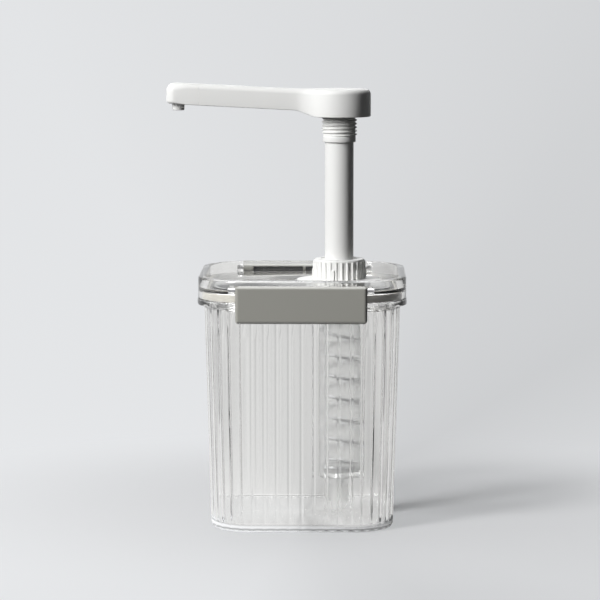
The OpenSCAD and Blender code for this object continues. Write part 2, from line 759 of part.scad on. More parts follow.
module front_latch() {
    latch();
}

module rear_latch() {
    at_rear() latch();
}

module front_latch_pins() {
    color(steel_colour) hinge_rounds(pin_r, pin_start, pin_end);
}

module rear_latch_pins() {
    color(steel_colour) at_rear() hinge_rounds(pin_r, pin_start, pin_end);
}

// Pump flange: a domed disc on the lid, with the collar's neck above it and a threaded spigot below
module pump_flange() {
    edge_top = panel_top + pump_flange_edge;
    color(white_colour) at_pump() difference() {
        union() {
            rotate_extrude() polygon([
                [0, panel_top], [pump_flange_r, panel_top], [pump_flange_r, edge_top],
                [collar_seat_r, collar_seat], [0, collar_seat]
            ]);
            rod(neck_r, panel_top, neck_top);
            rod(spigot_r, spigot_z, collar_seat - pump_flange_rise / 2);
        }
        rod(neck_bore_r, spigot_z - past, neck_top + past);
    }
}

module lock_nut() {
    color(white_colour) at_pump() translate([0, 0, nut_z]) linear_extrude(height = nut_h) difference() {
        union() {
            circle(nut_r - nut_grip_r / 2);
            for (k = [0 : nut_grips - 1]) rotate(360 * k / nut_grips)
                translate([nut_r - nut_grip_r, 0]) circle(nut_grip_r);
        }
        circle(thread_r);
    }
}

module nut_gasket() {
    color(cream_colour) at_pump() tube(nut_gasket_r, thread_r, nut_top, panel_z);
}

// Collar: a ribbed cap nut that clamps the housing's lip onto the neck
module collar() {
    rib_top = collar_top - collar_band_h;
    lug_root = (collar_r + collar_bore_r) / 2;
    color(white_colour) at_pump() difference() {
        union() {
            rotate_extrude() {
                translate([0, collar_seat]) square([collar_r, collar_top - collar_fillet - collar_seat]);
                translate([0, collar_seat]) square([collar_r - collar_fillet, collar_top - collar_seat]);
                translate([collar_r - collar_fillet, collar_top - collar_fillet]) circle(collar_fillet);
            }
            translate([0, 0, collar_seat]) linear_extrude(height = rib_top - collar_seat) {
                circle(collar_r);
                for (k = [0 : collar_ribs - 1]) rotate(360 * (k + 0.5) / collar_ribs)
                    translate([collar_r + collar_rib_out - collar_rib_r, 0]) circle(collar_rib_r);
            }
            translate([0, 0, collar_seat]) linear_extrude(height = collar_lug_h) {
                circle(lug_root);
                for (k = [0 : collar_lugs - 1]) rotate(collar_lug_turn - 90 + 360 * k / collar_lugs)
                    translate([collar_bore_r, -collar_lug_w / 2])
                    square([collar_lug_r - collar_bore_r, collar_lug_w]);
            }
        }
        rod(collar_bore_r, collar_seat - past, guide_flange_top);
        rod(collar_opening_r, collar_seat, collar_top + past);
    }
}

// Housing: the pump's cylinder, hung by its lip, with the inlet seat and spigot at its foot
module housing() {
    color(milky_colour) at_pump() difference() {
        union() {
            rod(housing_r, housing_z, lip_top);
            rod(lip_r, lip_z, lip_top);
            rod(inlet_r, inlet_z, housing_z + past);
        }
        rod(bore_r, cage_z, lip_top + past);
        rod(ball_chamber_r, inlet_seat, cage_z + past);
        rod(inlet_hole_r, inlet_z, inlet_seat + past);
        rod(dip_r + dip_slack, inlet_z - past, dip_top);
    }
}

module lip_gasket() {
    color(cream_colour) at_pump() tube(lip_r, neck_bore_r, neck_top, lip_z);
}

// Dip tube: its lower end is cut on the slant so that the floor can't close it
module dip_tube() {
    reach = 4 * dip_r;
    color(milky_colour) at_pump() difference() {
        tube(dip_r, dip_r - dip_wall, dip_z, dip_top);
        translate([0, 0, dip_z]) rotate([0, -dip_slant, 0])
            translate([0, -dip_r - past, -reach]) cube([reach, 2 * (dip_r + past), reach]);
    }
}

module inlet_ball() {
    color(steel_colour) at_pump() translate([0, 0, inlet_ball_z]) sphere(inlet_ball_r);
}

// Inlet cage: a windowed cup over the ball, on a flange that carries the spring
module inlet_cage() {
    color(white_colour) at_pump() difference() {
        union() {
            rod(bore_r - cage_gap, cage_z, spring_foot);
            rod(cage_r, cage_z, cage_roof + cage_wall);
        }
        rod(ball_chamber_r, cage_z - past, cage_roof);
        for (k = [0 : cage_windows - 1]) rotate([0, 0, 360 * k / cage_windows])
            translate([inlet_ball_r / 2, -cage_window_w / 2, spring_foot])
            cube([cage_r, cage_window_w, 2 * cage_wall + past]);
    }
}

// Stem guide: closes the housing's top and carries the stem, with a wiper ring in its neck
module stem_guide() {
    neck_end = collar_top - guide_neck_drop;
    color(white_colour) at_pump() difference() {
        union() {
            rod(bore_r - guide_gap, guide_z, guide_flange_top);
            rod(lip_r, lip_top, guide_flange_top);
            rod(guide_neck_r, lip_top, neck_end);
        }
        rod(stem_run_r, guide_z - past, neck_end + past);
        rod(stem_run_r + wiper_w + wiper_gap, neck_end - wiper_cover - wiper_h - 2 * wiper_gap,
            neck_end - wiper_cover);
    }
}

module wiper_ring() {
    low = collar_top - guide_neck_drop - wiper_cover - wiper_gap - wiper_h;
    color(grey_colour) at_pump() tube(stem_run_r + wiper_w, stem_run_r, low, low + wiper_h);
}

// Piston: a cup that holds the stem, with the outlet seat in its crown and a groove for its seal
module piston() {
    color(white_colour) at_pump() difference() {
        rod(piston_r, piston_z, piston_top);
        rod(stem_run_r, stem_seat, piston_top + past);
        rod(chamber_r, outlet_seat, stem_seat + past);
        rod(outlet_hole_r, piston_z - past, outlet_seat + past);
        tube(piston_r + past, seal_groove_r, seal_z, seal_z + seal_h + 2 * seal_gap);
    }
}

module piston_seal() {
    color(grey_colour) at_pump()
        tube(bore_r - seal_clear, seal_groove_r + seal_gap, seal_z + seal_gap, seal_z + seal_gap + seal_h);
}

module outlet_ball() {
    color(steel_colour) at_pump() translate([0, 0, outlet_ball_z]) sphere(outlet_ball_r);
}

module outlet_stop() {
    color(white_colour) at_pump() difference() {
        rod(stem_bore_r - socket_slack, stop_z, stop_z + stop_t);
        for (k = [0 : stop_holes - 1]) rotate([0, 0, 360 * k / stop_holes])
            translate([stop_hole_pitch, 0, 0]) rod(stop_hole_r, stop_z - past, stop_z + stop_t + past);
    }
}

module spring() {
    color(steel_colour) at_pump()
        polyhedron(points = wire_points, faces = closed_skin(wire_last, wire_sides), convexity = 10);
}

module stem() {
    color(white_colour) at_pump() tube(stem_r, stem_bore_r, stem_z, stem_top);
}

// Upright post with rounded edges, the corner of an arm
module arm_post(r, h, top_fillet, bottom_fillet) {
    rotate_extrude($fn = hull_fn) {
        square([r - top_fillet, h]);
        square([r - bottom_fillet, h - top_fillet]);
        translate([0, bottom_fillet]) square([r, h - top_fillet - bottom_fillet]);
        translate([r - top_fillet, h - top_fillet]) intersection() {
            circle(top_fillet, $fn = hull_fn);
            square(top_fillet);
        }
        translate([r - bottom_fillet, bottom_fillet]) intersection() {
            circle(bottom_fillet, $fn = hull_fn);
            translate([0, -bottom_fillet]) square(bottom_fillet);
        }
    }
}

// Pair of posts across the arm at a distance from the axis, from an underside up to the arm's top
module arm_posts(d, half_w, low) {
    for (side = [-1, 1]) translate([-d, side * (half_w - arm_corner_r), low])
        arm_post(arm_corner_r, arm_z(d) + arm_h - low, arm_top_fillet, arm_bottom_fillet);
}

// The whole arm, from the flare in the boss to the spout's end
module spout_arm() {
    hull() {
        arm_posts(flare_end, arm_w / 2, arm_z(flare_end));
        arm_posts(spout_reach - arm_corner_r, arm_w / 2, arm_z(spout_reach - arm_corner_r));
    }
}

// Share of the way from the flare's start, 0, to its end, 1, at step k, and the distance from the axis there
function flare_share(k) = k / flare_steps;
function flare_d(k) = flare_start + (flare_end - flare_start) * flare_share(k);

// Posts of the flare at step k: its sides curve in hollow, and its underside rises in a soft S
module flare_posts(k) {
    t = flare_share(k);
    d = flare_d(k);
    half_w = arm_w / 2 + (flare_half_w - arm_w / 2) * pow(1 - t, 2);
    low = boss_z + (arm_z(d) - boss_z) * (1 - cos(180 * t)) / 2;
    arm_posts(d, half_w, low);
}

module spout_flare() {
    for (k = [0 : flare_steps - 1]) hull() {
        flare_posts(k);
        flare_posts(k + 1);
    }
}

// Round hole along the middle of the arm between two distances from the axis
module arm_bore(r, from, to) {
    translate([-from, 0, arm_z(from) + arm_h / 2]) rotate([0, arm_tilt - 90, 0])
        cylinder(r = r, h = (to - from) / cos(arm_tilt));
}

// Everything farther from the axis than d, along the spout
module beyond(d) {
    translate([-d - spout_reach, -arm_w, boss_z]) cube([spout_reach, 2 * arm_w, 2 * boss_h]);
}

// Outline of the boss from the axis outwards, with its top and bottom edges rounded
module boss_profile() {
    t = boss_top_fillet;
    b = boss_bottom_fillet;
    translate([0, boss_z]) square([boss_r - t, boss_h]);
    translate([0, boss_z]) square([boss_r - b, boss_h - t]);
    translate([0, boss_z + b]) square([boss_r, boss_h - t - b]);
    translate([boss_r - t, boss_top - t]) circle(t);
    translate([boss_r - b, boss_z + b]) circle(b);
}

// Head: a round boss on a threaded sleeve, with the spout's arm to one side
module head() {
    color(white_colour) at_pump() difference() {
        union() {
            rotate_extrude() boss_profile();
            rod(sleeve_ring_r, sleeve_z, thread_z);
            rod(sleeve_r, sleeve_z, boss_z + past);
            spout_flare();
            difference() {
                spout_arm();
                beyond(tip_joint);
            }
        }
        rod(socket_r, sleeve_z - past, stem_top + socket_slack);
        rod(stem_bore_r, stem_top, arm_z(0) + arm_h / 2);
        arm_bore(channel_r, 0, tip_joint + past);
        arm_bore(tip_plug_r + tip_plug_slack, tip_joint - tip_plug_l - tip_gap, tip_joint + past);
    }
}

module spout_tip() {
    color(white_colour) at_pump() union() {
        difference() {
            intersection() {
                spout_arm();
                beyond(tip_joint + tip_gap);
            }
            translate([-outlet_d, 0, 0])
                rod(outlet_r + tip_plug_slack, boss_z, arm_z(outlet_d) + outlet_in + tip_gap);
            translate([-outlet_d, 0, 0]) rod(outlet_bore_r, boss_z, arm_z(outlet_d) + arm_h / 2);
            arm_bore(channel_r, tip_joint, outlet_d);
        }
        difference() {
            arm_bore(tip_plug_r, tip_joint - tip_plug_l, tip_joint + 2 * tip_gap);
            arm_bore(channel_r, tip_joint - tip_plug_l - past, tip_joint + 2 * tip_gap + past);
        }
    }
}

module outlet_nozzle() {
    low = arm_z(outlet_d) - outlet_below;
    color(white_colour) at_pump() translate([-outlet_d, 0, 0]) difference() {
        rotate_extrude() {
            translate([0, low]) square([outlet_r - outlet_fillet, outlet_below + outlet_in]);
            translate([0, low + outlet_fillet]) square([outlet_r, outlet_below + outlet_in - outlet_fillet]);
            translate([outlet_r - outlet_fillet, low + outlet_fillet]) circle(outlet_fillet);
        }
        rod(outlet_bore_r, low - past, low + outlet_below + outlet_in + past);
    }
}

tank();
lid();
lid_gasket();
front_latch();
rear_latch();
front_latch_pins();
rear_latch_pins();
pump_flange();
lock_nut();
nut_gasket();
collar();
housing();
lip_gasket();
dip_tube();
inlet_ball();
inlet_cage();
stem_guide();
wiper_ring();
piston();
piston_seal();
outlet_ball();
outlet_stop();
spring();
stem();
head();
spout_tip();
outlet_nozzle();
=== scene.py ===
"""Looks of a syrup pump on a fluted, clip-lidded tank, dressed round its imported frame.

The frame's axes hold throughout: +Z is up, the front latch faces -Y and the pump stands towards +X.
Sizes in the classes are millimetres, as a drawing gives them; skin() turns them into metres.
"""

from __future__ import annotations

import logging
import math
from collections.abc import Mapping, Sequence
from dataclasses import dataclass, field
from enum import Enum

import bmesh
import bpy
import numpy as np
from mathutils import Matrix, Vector

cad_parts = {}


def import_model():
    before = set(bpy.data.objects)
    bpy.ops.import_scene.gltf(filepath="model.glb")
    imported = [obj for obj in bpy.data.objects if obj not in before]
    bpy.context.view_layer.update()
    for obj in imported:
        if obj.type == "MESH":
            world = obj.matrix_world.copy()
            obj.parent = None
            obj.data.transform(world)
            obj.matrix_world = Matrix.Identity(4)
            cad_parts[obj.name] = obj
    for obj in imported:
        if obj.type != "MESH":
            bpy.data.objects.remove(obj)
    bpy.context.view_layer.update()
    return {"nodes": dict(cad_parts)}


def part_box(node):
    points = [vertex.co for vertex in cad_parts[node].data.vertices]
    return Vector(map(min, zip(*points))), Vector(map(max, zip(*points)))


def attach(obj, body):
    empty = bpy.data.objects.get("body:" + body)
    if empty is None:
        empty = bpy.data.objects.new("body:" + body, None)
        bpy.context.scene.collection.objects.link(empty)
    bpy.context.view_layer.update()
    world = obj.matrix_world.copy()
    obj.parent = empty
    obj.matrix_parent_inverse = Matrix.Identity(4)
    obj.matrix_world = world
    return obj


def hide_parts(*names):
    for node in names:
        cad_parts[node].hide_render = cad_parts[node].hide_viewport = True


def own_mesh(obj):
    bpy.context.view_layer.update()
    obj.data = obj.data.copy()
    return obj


log = logging.getLogger("syrup_pump")

MM = 0.001

# The pump's axis stands this far from the tank's middle.
PUMP_X = 21.6

# Points nearer than the first merge and edges shorter than the second go, both in metres. Edges that bend
# by more than the third stay sharp.
MERGE_WITHIN = 1e-7
SLIVER_UNDER = 1e-8
SHARP_OVER = math.radians(38)

# The clouds and the grain of a moulded surface.
CLOUD_SCALE = 38.0
CLOUD_DETAIL = 4.0
GRAIN_DETAIL = 3.0
GRAIN_DEPTH = 0.1

# A mix node's colour sockets go by number, because its other sockets share their names.
MIX_FIRST = 6
MIX_SECOND = 7
MIX_RESULT = 2

VECTOR = "ShaderNodeVectorMath"

Colour = tuple[float, float, float]
Place = tuple[float, float, float]
Corner = tuple[float, float, float]
Oblong = tuple[float, float]
Levels = tuple[tuple[float, float], ...]
Inlets = Mapping[str | int, object]
Tree = bpy.types.NodeTree
Socket = bpy.types.NodeSocket


class Body(Enum):
    """Moving bodies of the frame."""

    TANK = "root"
    FRONT_LATCH = "front_latch"
    REAR_LATCH = "rear_latch"
    SPOUT = "spout"


class Slot(Enum):
    """Material slots of the frame's record."""

    CLEAR = "clear_plastic"
    WHITE = "white_plastic"
    MILKY = "milky_plastic"
    GREY = "grey_plastic"
    CREAM = "cream_silicone"
    SEAL = "grey_rubber"
    STEEL = "steel"


def span(node: str) -> tuple[float, float]:
    """Heights of a frame node's lowest and highest points, in millimetres."""
    low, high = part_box(node)
    return low[2] / MM, high[2] / MM


def rounded(corners: Sequence[Corner], steps: int = 5, closed: bool = True) -> np.ndarray:
    """Polygon with arcs for corners.

    A corner of radius r between two sides at an angle w is replaced by an arc about a centre on the
    bisector, r / sin(w / 2) from the corner, which touches both sides r / tan(w / 2) from it.

    Args:
        corners: Two coordinates and an arc radius for each corner, in order.
        steps: Chords in an arc.
        closed: Whether the last corner is joined to the first.

    Returns:
        The points in order, one row each.
    """
    points = np.array([corner[:2] for corner in corners], float)
    runs = []
    for i, (_, _, radius) in enumerate(corners):
        here = points[i]
        if radius <= 0 or (not closed and i in (0, len(corners) - 1)):
            runs.append(here[None])
            continue
        back = points[i - 1] - here
        onward = points[(i + 1) % len(corners)] - here
        back = back / np.linalg.norm(back)
        onward = onward / np.linalg.norm(onward)
        angle = math.acos(np.clip(back @ onward, -1, 1))
        sweep = math.pi - angle
        bisector = (back + onward) / np.linalg.norm(back + onward)
        centre = here + bisector * radius / math.sin(angle / 2)
        reach = radius / math.tan(angle / 2)
        start = here + back * reach - centre
        stop = here + onward * reach - centre
        t = np.linspace(0, 1, steps + 1)[:, None]
        runs.append(centre + (np.sin((1 - t) * sweep) * start + np.sin(t * sweep) * stop) / math.sin(sweep))
    return np.concatenate(runs)


def smoothstep(t: np.ndarray) -> np.ndarray:
    """The curve 3t^2 - 2t^3 between 0 and 1, flat at both ends."""
    t = np.clip(t, 0, 1)
    return t * t * (3 - 2 * t)


def skin(name: str, *grids: np.ndarray, wrap_u: bool = True, wrap_v: bool = True) -> bpy.types.Object:
    """Mesh object over grids of points, with seams and poles merged and faces outwards.

    Args:
        name: Name of the piece.
        grids: Arrays of shape (rows, columns, 3) in millimetres; each becomes a closed shell.
        wrap_u: Whether the last row is joined to the first.
        wrap_v: Whether the last column is joined to the first.

    Returns:
        The new object, at the origin.
    """
    points, faces, base = [], [], 0
    for grid in grids:
        rows, columns = grid.shape[:2]
        index = np.arange(rows * columns).reshape(rows, columns) + base
        index = np.concatenate([index, index[:1]]) if wrap_u else index
        index = np.concatenate([index, index[:, :1]], axis=1) if wrap_v else index
        quads = np.stack([index[:-1, :-1], index[1:, :-1], index[1:, 1:], index[:-1, 1:]], axis=-1)
        points.append(grid.reshape(-1, 3) * MM)
        faces.append(quads.reshape(-1, 4))
        base += rows * columns
    mesh = bpy.data.meshes.new(name)
    mesh.from_pydata(np.concatenate(points).tolist(), [], np.concatenate(faces).tolist())
    work = bmesh.new()
    work.from_mesh(mesh)
    bmesh.ops.remove_doubles(work, verts=work.verts, dist=MERGE_WITHIN)
    bmesh.ops.dissolve_degenerate(work, edges=work.edges, dist=SLIVER_UNDER)
    bmesh.ops.recalc_face_normals(work, faces=work.faces)
    work.to_mesh(mesh)
    work.free()
    mesh.polygons.foreach_set("use_smooth", np.ones(len(mesh.polygons), bool))
    mesh.set_sharp_from_angle(angle=SHARP_OVER)
    piece = bpy.data.objects.new(name, mesh)
    bpy.context.scene.collection.objects.link(piece)
    return piece


def turned(profile: np.ndarray, segments: int = 96) -> np.ndarray:
    """Surface of a profile turned about the pump's axis: (r, z) goes to (r cos a, r sin a, z).

    Args:
        profile: Rows of radius and height.
        segments: Steps round the axis.

    Returns:
        Grid of points, one row for each step round.
    """
    angle = np.linspace(0, 2 * math.pi, segments, endpoint=False)[:, None]
    radius = np.repeat(profile[None, :, 0], segments, axis=0)
    height = np.repeat(profile[None, :, 1], segments, axis=0)
    return np.stack([PUMP_X + radius * np.cos(angle), radius * np.sin(angle), height], axis=-1)


def tube_along(path: np.ndarray, out: np.ndarray, section: np.ndarray) -> np.ndarray:
    """Surface of a section carried along a path.

    At each point of the path the section's first coordinate runs along the outward direction and its
    second along the cross product of the path's tangent and that direction.

    Args:
        path: Rows of points.
        out: Unit outward direction at each point.
        section: Section points, the same for all rows or one set for each.

    Returns:
        Grid of points, with a pole at each end.
    """
    along = np.gradient(path, axis=0)
    along /= np.linalg.norm(along, axis=1, keepdims=True)
    side = np.cross(along, out)
    side /= np.linalg.norm(side, axis=1, keepdims=True)
    across = np.cross(side, along)
    section = np.broadcast_to(section, (len(path), *section.shape[-2:]))
    grid = path[:, None] + section[..., :1] * across[:, None] + section[..., 1:] * side[:, None]
    ends = [np.repeat(grid[i].mean(0, keepdims=True), grid.shape[1], axis=0)[None] for i in (0, -1)]
    return np.concatenate([ends[0], grid, ends[1]])


@dataclass(frozen=True)
class SquareRing:
    """Skeleton of a rounded square whose corners turn about four fixed upright axes.

    A point of any rounded square on it is core + out * normal, where out is the corner radius.
    """

    corner_at: float = 29.0
    side_cells: int = 8
    corner_cells: int = 6
    samples: int = 8

    def lay_out(self) -> tuple[np.ndarray, np.ndarray, np.ndarray]:
        """One side and one corner, turned four times.

        Returns:
            Core points, outward normals, and each point's place from 0 to 1 in its flute cell.
        """
        side = np.linspace(0, 1, self.side_cells * self.samples, endpoint=False)
        corner = np.linspace(0, 1, self.corner_cells * self.samples, endpoint=False)
        c = self.corner_at
        core = np.concatenate([
            np.stack([np.full_like(side, c), c * (2 * side - 1)], axis=1),
            np.full((len(corner), 2), c),
        ])
        angle = np.concatenate([np.zeros_like(side), corner * math.pi / 2])
        cell = np.concatenate([side * self.side_cells % 1, corner * self.corner_cells % 1])
        quarter = np.arange(4)[:, None] * math.pi / 2
        turn = np.stack([np.cos(quarter), np.sin(quarter)], axis=-1)
        x = turn[..., 0] * core[:, 0] - turn[..., 1] * core[:, 1]
        y = turn[..., 1] * core[:, 0] + turn[..., 0] * core[:, 1]
        normal = np.stack([np.cos(quarter + angle), np.sin(quarter + angle)], axis=-1)
        return np.stack([x, y], axis=-1).reshape(-1, 2), normal.reshape(-1, 2), np.tile(cell, 4)


def feed(tree: Tree, node: bpy.types.Node, inlets: Inlets) -> None:
    """Links sockets to a node's inlets, and sets the inlets that are given a plain value.

    Args:
        tree: Node tree of the node.
        node: The node.
        inlets: Socket or value for each inlet, by the inlet's name or number.
    """
    for inlet, given in inlets.items():
        if isinstance(given, Socket):
            tree.links.new(given, node.inputs[inlet])
        else:
            node.inputs[inlet].default_value = given


def add_node(tree: Tree, kind: str, inlets: Inlets | None = None, **choices: object) -> bpy.types.Node:
    """Adds a node and feeds its inlets.

    Args:
        tree: Node tree to add to.
        kind: Type of the node.
        inlets: Socket or value for each inlet.
        choices: Settings of the node itself, such as the operation of a math node.

    Returns:
        The new node.
    """
    node = tree.nodes.new(kind)
    for name, choice in choices.items():
        setattr(node, name, choice)
    feed(tree, node, inlets or {})
    return node


def reckon(tree: Tree, operation: str, *terms: object, kind: str = "ShaderNodeMath") -> Socket:
    """Result of a math node or a vector math node.

    Args:
        tree: Node tree to add to.
        operation: What the node does.
        terms: Sockets or values, in the order of the node's inlets.
        kind: Type of the node.

    Returns:
        Socket of the result.
    """
    node = add_node(tree, kind, dict(enumerate(terms)), operation=operation)
    return node.outputs["Value" if operation == "LENGTH" else 0]


def blend(tree: Tree, share: Socket, *shaders: Socket) -> Socket:
    """Shader that goes from the first of two to the second as the share goes from 0 to 1."""
    return add_node(tree, "ShaderNodeMixShader", dict(enumerate((share, *shaders)))).outputs["Shader"]


def blank_material(name: str) -> tuple[bpy.types.Material, bpy.types.Node]:
    """New material with a node tree.

    Args:
        name: Name of the material.

    Returns:
        The material and its Principled shader.
    """
    made = bpy.data.materials.new(name)
    made.use_nodes = True
    return made, made.node_tree.nodes["Principled BSDF"]


def grey_ramp(tree: Tree, along: Socket, levels: Levels, tint: Colour = (1.0, 1.0, 1.0)) -> Socket:
    """Ramp through tinted greys.

    Args:
        tree: Node tree to add it to.
        along: Socket from 0 to 1 that runs along the ramp.
        levels: Place and brightness of each stop, in order.
        tint: Colour that the brightness scales.

    Returns:
        Colour socket of the ramp.
    """
    ramp = add_node(tree, "ShaderNodeValToRGB", {"Fac": along})
    stops = ramp.color_ramp.elements
    while len(stops) < len(levels):
        stops.new(0.5)
    for stop, (at, level) in zip(stops, levels):
        stop.position = at
        stop.color = (*(level * part for part in tint), 1)
    return ramp.outputs["Color"]


def moulded_skin_group() -> Tree:
    """Shared shader group for moulded surfaces: a cloudy tint, uneven gloss and a fine grain.

    Returns:
        Group with inputs Tint, Cloud, Gloss, Uneven and Grain Scale, and outputs Colour, Roughness and
        Height.
    """
    tree = bpy.data.node_groups.new("moulded_skin", "ShaderNodeTree")
    for way, kind, labels in (
        ("INPUT", "NodeSocketColor", ("Tint",)),
        ("INPUT", "NodeSocketFloat", ("Cloud", "Gloss", "Uneven", "Grain Scale")),
        ("OUTPUT", "NodeSocketColor", ("Colour",)),
        ("OUTPUT", "NodeSocketFloat", ("Roughness", "Height")),
    ):
        for label in labels:
            tree.interface.new_socket(label, in_out=way, socket_type=kind)
    given = add_node(tree, "NodeGroupInput").outputs
    place = add_node(tree, "ShaderNodeTexCoord").outputs["Object"]
    cloud = add_node(
        tree, "ShaderNodeTexNoise", {"Vector": place, "Scale": CLOUD_SCALE, "Detail": CLOUD_DETAIL}
    )
    grain = add_node(
        tree, "ShaderNodeTexNoise", {"Vector": place, "Scale": given["Grain Scale"], "Detail": GRAIN_DETAIL}
    )
    centred = reckon(tree, "SUBTRACT", cloud.outputs["Fac"], 0.5)
    shade = reckon(tree, "MULTIPLY_ADD", centred, given["Cloud"], 1.0)
    colour = add_node(tree, VECTOR, {0: given["Tint"], "Scale": shade}, operation="SCALE")
    gloss = reckon(tree, "MULTIPLY_ADD", centred, given["Uneven"], given["Gloss"])
    add_node(tree, "NodeGroupOutput", {
        "Colour": colour.outputs[0], "Roughness": gloss, "Height": grain.outputs["Fac"],
    })
    return tree


def moulded_skin(tree: Tree, inlets: Inlets) -> bpy.types.NodeOutputs:
    """Places the shared moulded skin in a material.

    Args:
        tree: Node tree of the material.
        inlets: Values for the group's inputs.

    Returns:
        The group's outputs.
    """
    shared = bpy.data.node_groups.get("moulded_skin") or moulded_skin_group()
    return add_node(tree, "ShaderNodeGroup", inlets, node_tree=shared).outputs


@dataclass(frozen=True)
class Moulded:
    """Finish of an opaque piece: moulded plastic, rubber or steel."""

    name: str
    slot: Slot
    colour: Colour
    gloss: float
    uneven: float = 0.08
    cloud: float = 0.05
    grain: float = 0.02
    grain_scale: float = 2600.0
    coat: float = 0.0
    metallic: float = 0.0
    specular: float = 0.5

    def material(self) -> bpy.types.Material:
        """Principled surface with the shared moulded skin on its colour, roughness and bump.

        Returns:
            The new material.
        """
        made, shader = blank_material(self.name)
        tree = made.node_tree
        moulding = moulded_skin(tree, {
            "Tint": (*self.colour, 1), "Cloud": self.cloud, "Gloss": self.gloss, "Uneven": self.uneven,
            "Grain Scale": self.grain_scale,
        })
        bump = add_node(tree, "ShaderNodeBump", {
            "Strength": self.grain, "Distance": GRAIN_DEPTH * MM, "Height": moulding["Height"],
        })
        feed(tree, shader, {
            "Base Color": moulding["Colour"], "Roughness": moulding["Roughness"],
            "Normal": bump.outputs["Normal"], "Coat Weight": self.coat, "Metallic": self.metallic,
            "Specular IOR Level": self.specular,
        })
        return made


@dataclass(frozen=True)
class ClearResin:
    """Finish of a clear or milky moulded piece: refracting, and only lightly shading what is behind it."""

    name: str
    slot: Slot
    tint: Colour
    shade: Colour
    gloss: float = 0.015
    uneven: float = 0.02
    ior: float = 1.49
    through: float = 1.0
    # Painted shade: a darker band in the clear colour just above the floor, by height over the span below.
    painted_shade_line: Levels = ()
    painted_shade_span: float = 10.0

    def tint_with_painted_shade(self, tree: Tree) -> Socket:
        """Tint with a painted line of shade a little above the floor, by height over the foot's span.

        Args:
            tree: Node tree of the material.

        Returns:
            Colour socket.
        """
        place = add_node(tree, "ShaderNodeTexCoord").outputs["Object"]
        height = add_node(tree, "ShaderNodeSeparateXYZ", {0: place}).outputs["Z"]
        along = add_node(tree, "ShaderNodeMapRange", {"Value": height, "From Max": self.painted_shade_span * MM})
        return grey_ramp(tree, along.outputs["Result"], self.painted_shade_line, self.tint)

    def material(self) -> bpy.types.Material:
        """Refracting surface that lets lamp light through with a slight loss.

        Returns:
            The new material.
        """
        made, shader = blank_material(self.name)
        tree = made.node_tree
        moulding = moulded_skin(tree, {"Gloss": self.gloss, "Uneven": self.uneven})
        feed(tree, shader, {
            "Base Color": (*self.tint, 1), "Transmission Weight": self.through, "IOR": self.ior,
            "Roughness": moulding["Roughness"],
        })
        # Painted shade: the base colour darkens in a line a little above the floor.
        if self.painted_shade_line:
            feed(tree, shader, {"Base Color": self.tint_with_painted_shade(tree)})
        open_way = add_node(tree, "ShaderNodeBsdfTransparent", {"Color": (*self.shade, 1)})
        ray = add_node(tree, "ShaderNodeLightPath").outputs
        lit = reckon(tree, "MAXIMUM", ray["Is Shadow Ray"], ray["Diffuse Depth"])
        surface = blend(tree, lit, shader.outputs["BSDF"], open_way.outputs["BSDF"])
        feed(tree, tree.nodes["Material Output"], {"Surface": surface})
        return made


# The tank's clear resin has a painted line of shade just above its foot.
CLEAR = ClearResin(
    "clear_resin", Slot.CLEAR, (0.966, 0.966, 0.962), (0.91, 0.912, 0.912),
    painted_shade_line=((0.0, 1.0), (0.12, 0.95), (0.16, 0.3), (0.23, 0.25), (0.27, 1.0)),
)
MILKY = ClearResin(
    "milky_resin", Slot.MILKY, (0.97, 0.97, 0.965), (0.95, 0.95, 0.945),
    gloss=0.42, uneven=0.05, ior=1.24, through=0.94,
)
CLEAR_LID = ClearResin("clear_lid", Slot.CLEAR, (0.985, 0.985, 0.981), (0.93, 0.932, 0.932))
TUBE = ClearResin(
    "milky_tube", Slot.MILKY, (0.99, 0.99, 0.985), (0.95, 0.95, 0.945),
    gloss=0.5, uneven=0.05, ior=1.12, through=0.93,
)
WHITE = Moulded("white_plastic", Slot.WHITE, (0.86, 0.86, 0.845), 0.5, specular=0.2)
GREY = Moulded("grey_plastic", Slot.GREY, (0.3, 0.295, 0.262), 0.26, grain=0.06, coat=1.0)
CREAM = Moulded("cream_silicone", Slot.CREAM, (0.7, 0.67, 0.6), 0.6, grain=0.05)
SEAL = Moulded("seal_rubber", Slot.SEAL, (0.09, 0.09, 0.09), 0.6, grain=0.08)
# Painted shade: near-black strips that darken the latches' recesses.
RECESS_SHADE = Moulded("latch_liner", Slot.SEAL, (0.022, 0.021, 0.019), 0.7, grain=0.08)
STEEL = Moulded("spring_steel", Slot.STEEL, (0.34, 0.34, 0.35), 0.34, grain=0.05, metallic=1.0)
BALL = Moulded("ball_steel", Slot.STEEL, (0.86, 0.86, 0.87), 0.3, metallic=1.0)

Finish = Moulded | ClearResin


@dataclass
class Workshop:
    """Hands out materials, dresses pieces and reports them."""

    nodes: dict[str, bpy.types.Object]
    made: dict[str, bpy.types.Material] = field(default_factory=dict)

    def material(self, finish: Finish) -> bpy.types.Material:
        """Material of a finish, made on its first use.

        Args:
            finish: The finish.

        Returns:
            The material.
        """
        if finish.name not in self.made:
            self.made[finish.name] = finish.material()
        return self.made[finish.name]

    def dress(self, piece: bpy.types.Object, finish: Finish, body: Body, *stands_for: str) -> None:
        """Gives a new piece its material and body.

        Args:
            piece: The new object.
            finish: Its finish.
            body: The body that it rides on.
            stands_for: Frame nodes that it replaces.
        """
        piece.data.materials.append(self.material(finish))
        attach(piece, body.value)
        if stands_for:
            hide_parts(*stands_for)
        log.info("%s rides on %s in %s", piece.name, body.value, finish.name)

    def carry_over(self, node: str, finish: Finish) -> None:
        """Gives a frame node that keeps its own shape a finish.

        Args:
            node: Name of the node.
            finish: Its finish.
        """
        slots = self.nodes[node].data.materials
        slots.clear()
        slots.append(self.material(finish))
        log.info("%s keeps its solid in %s", node, finish.name)


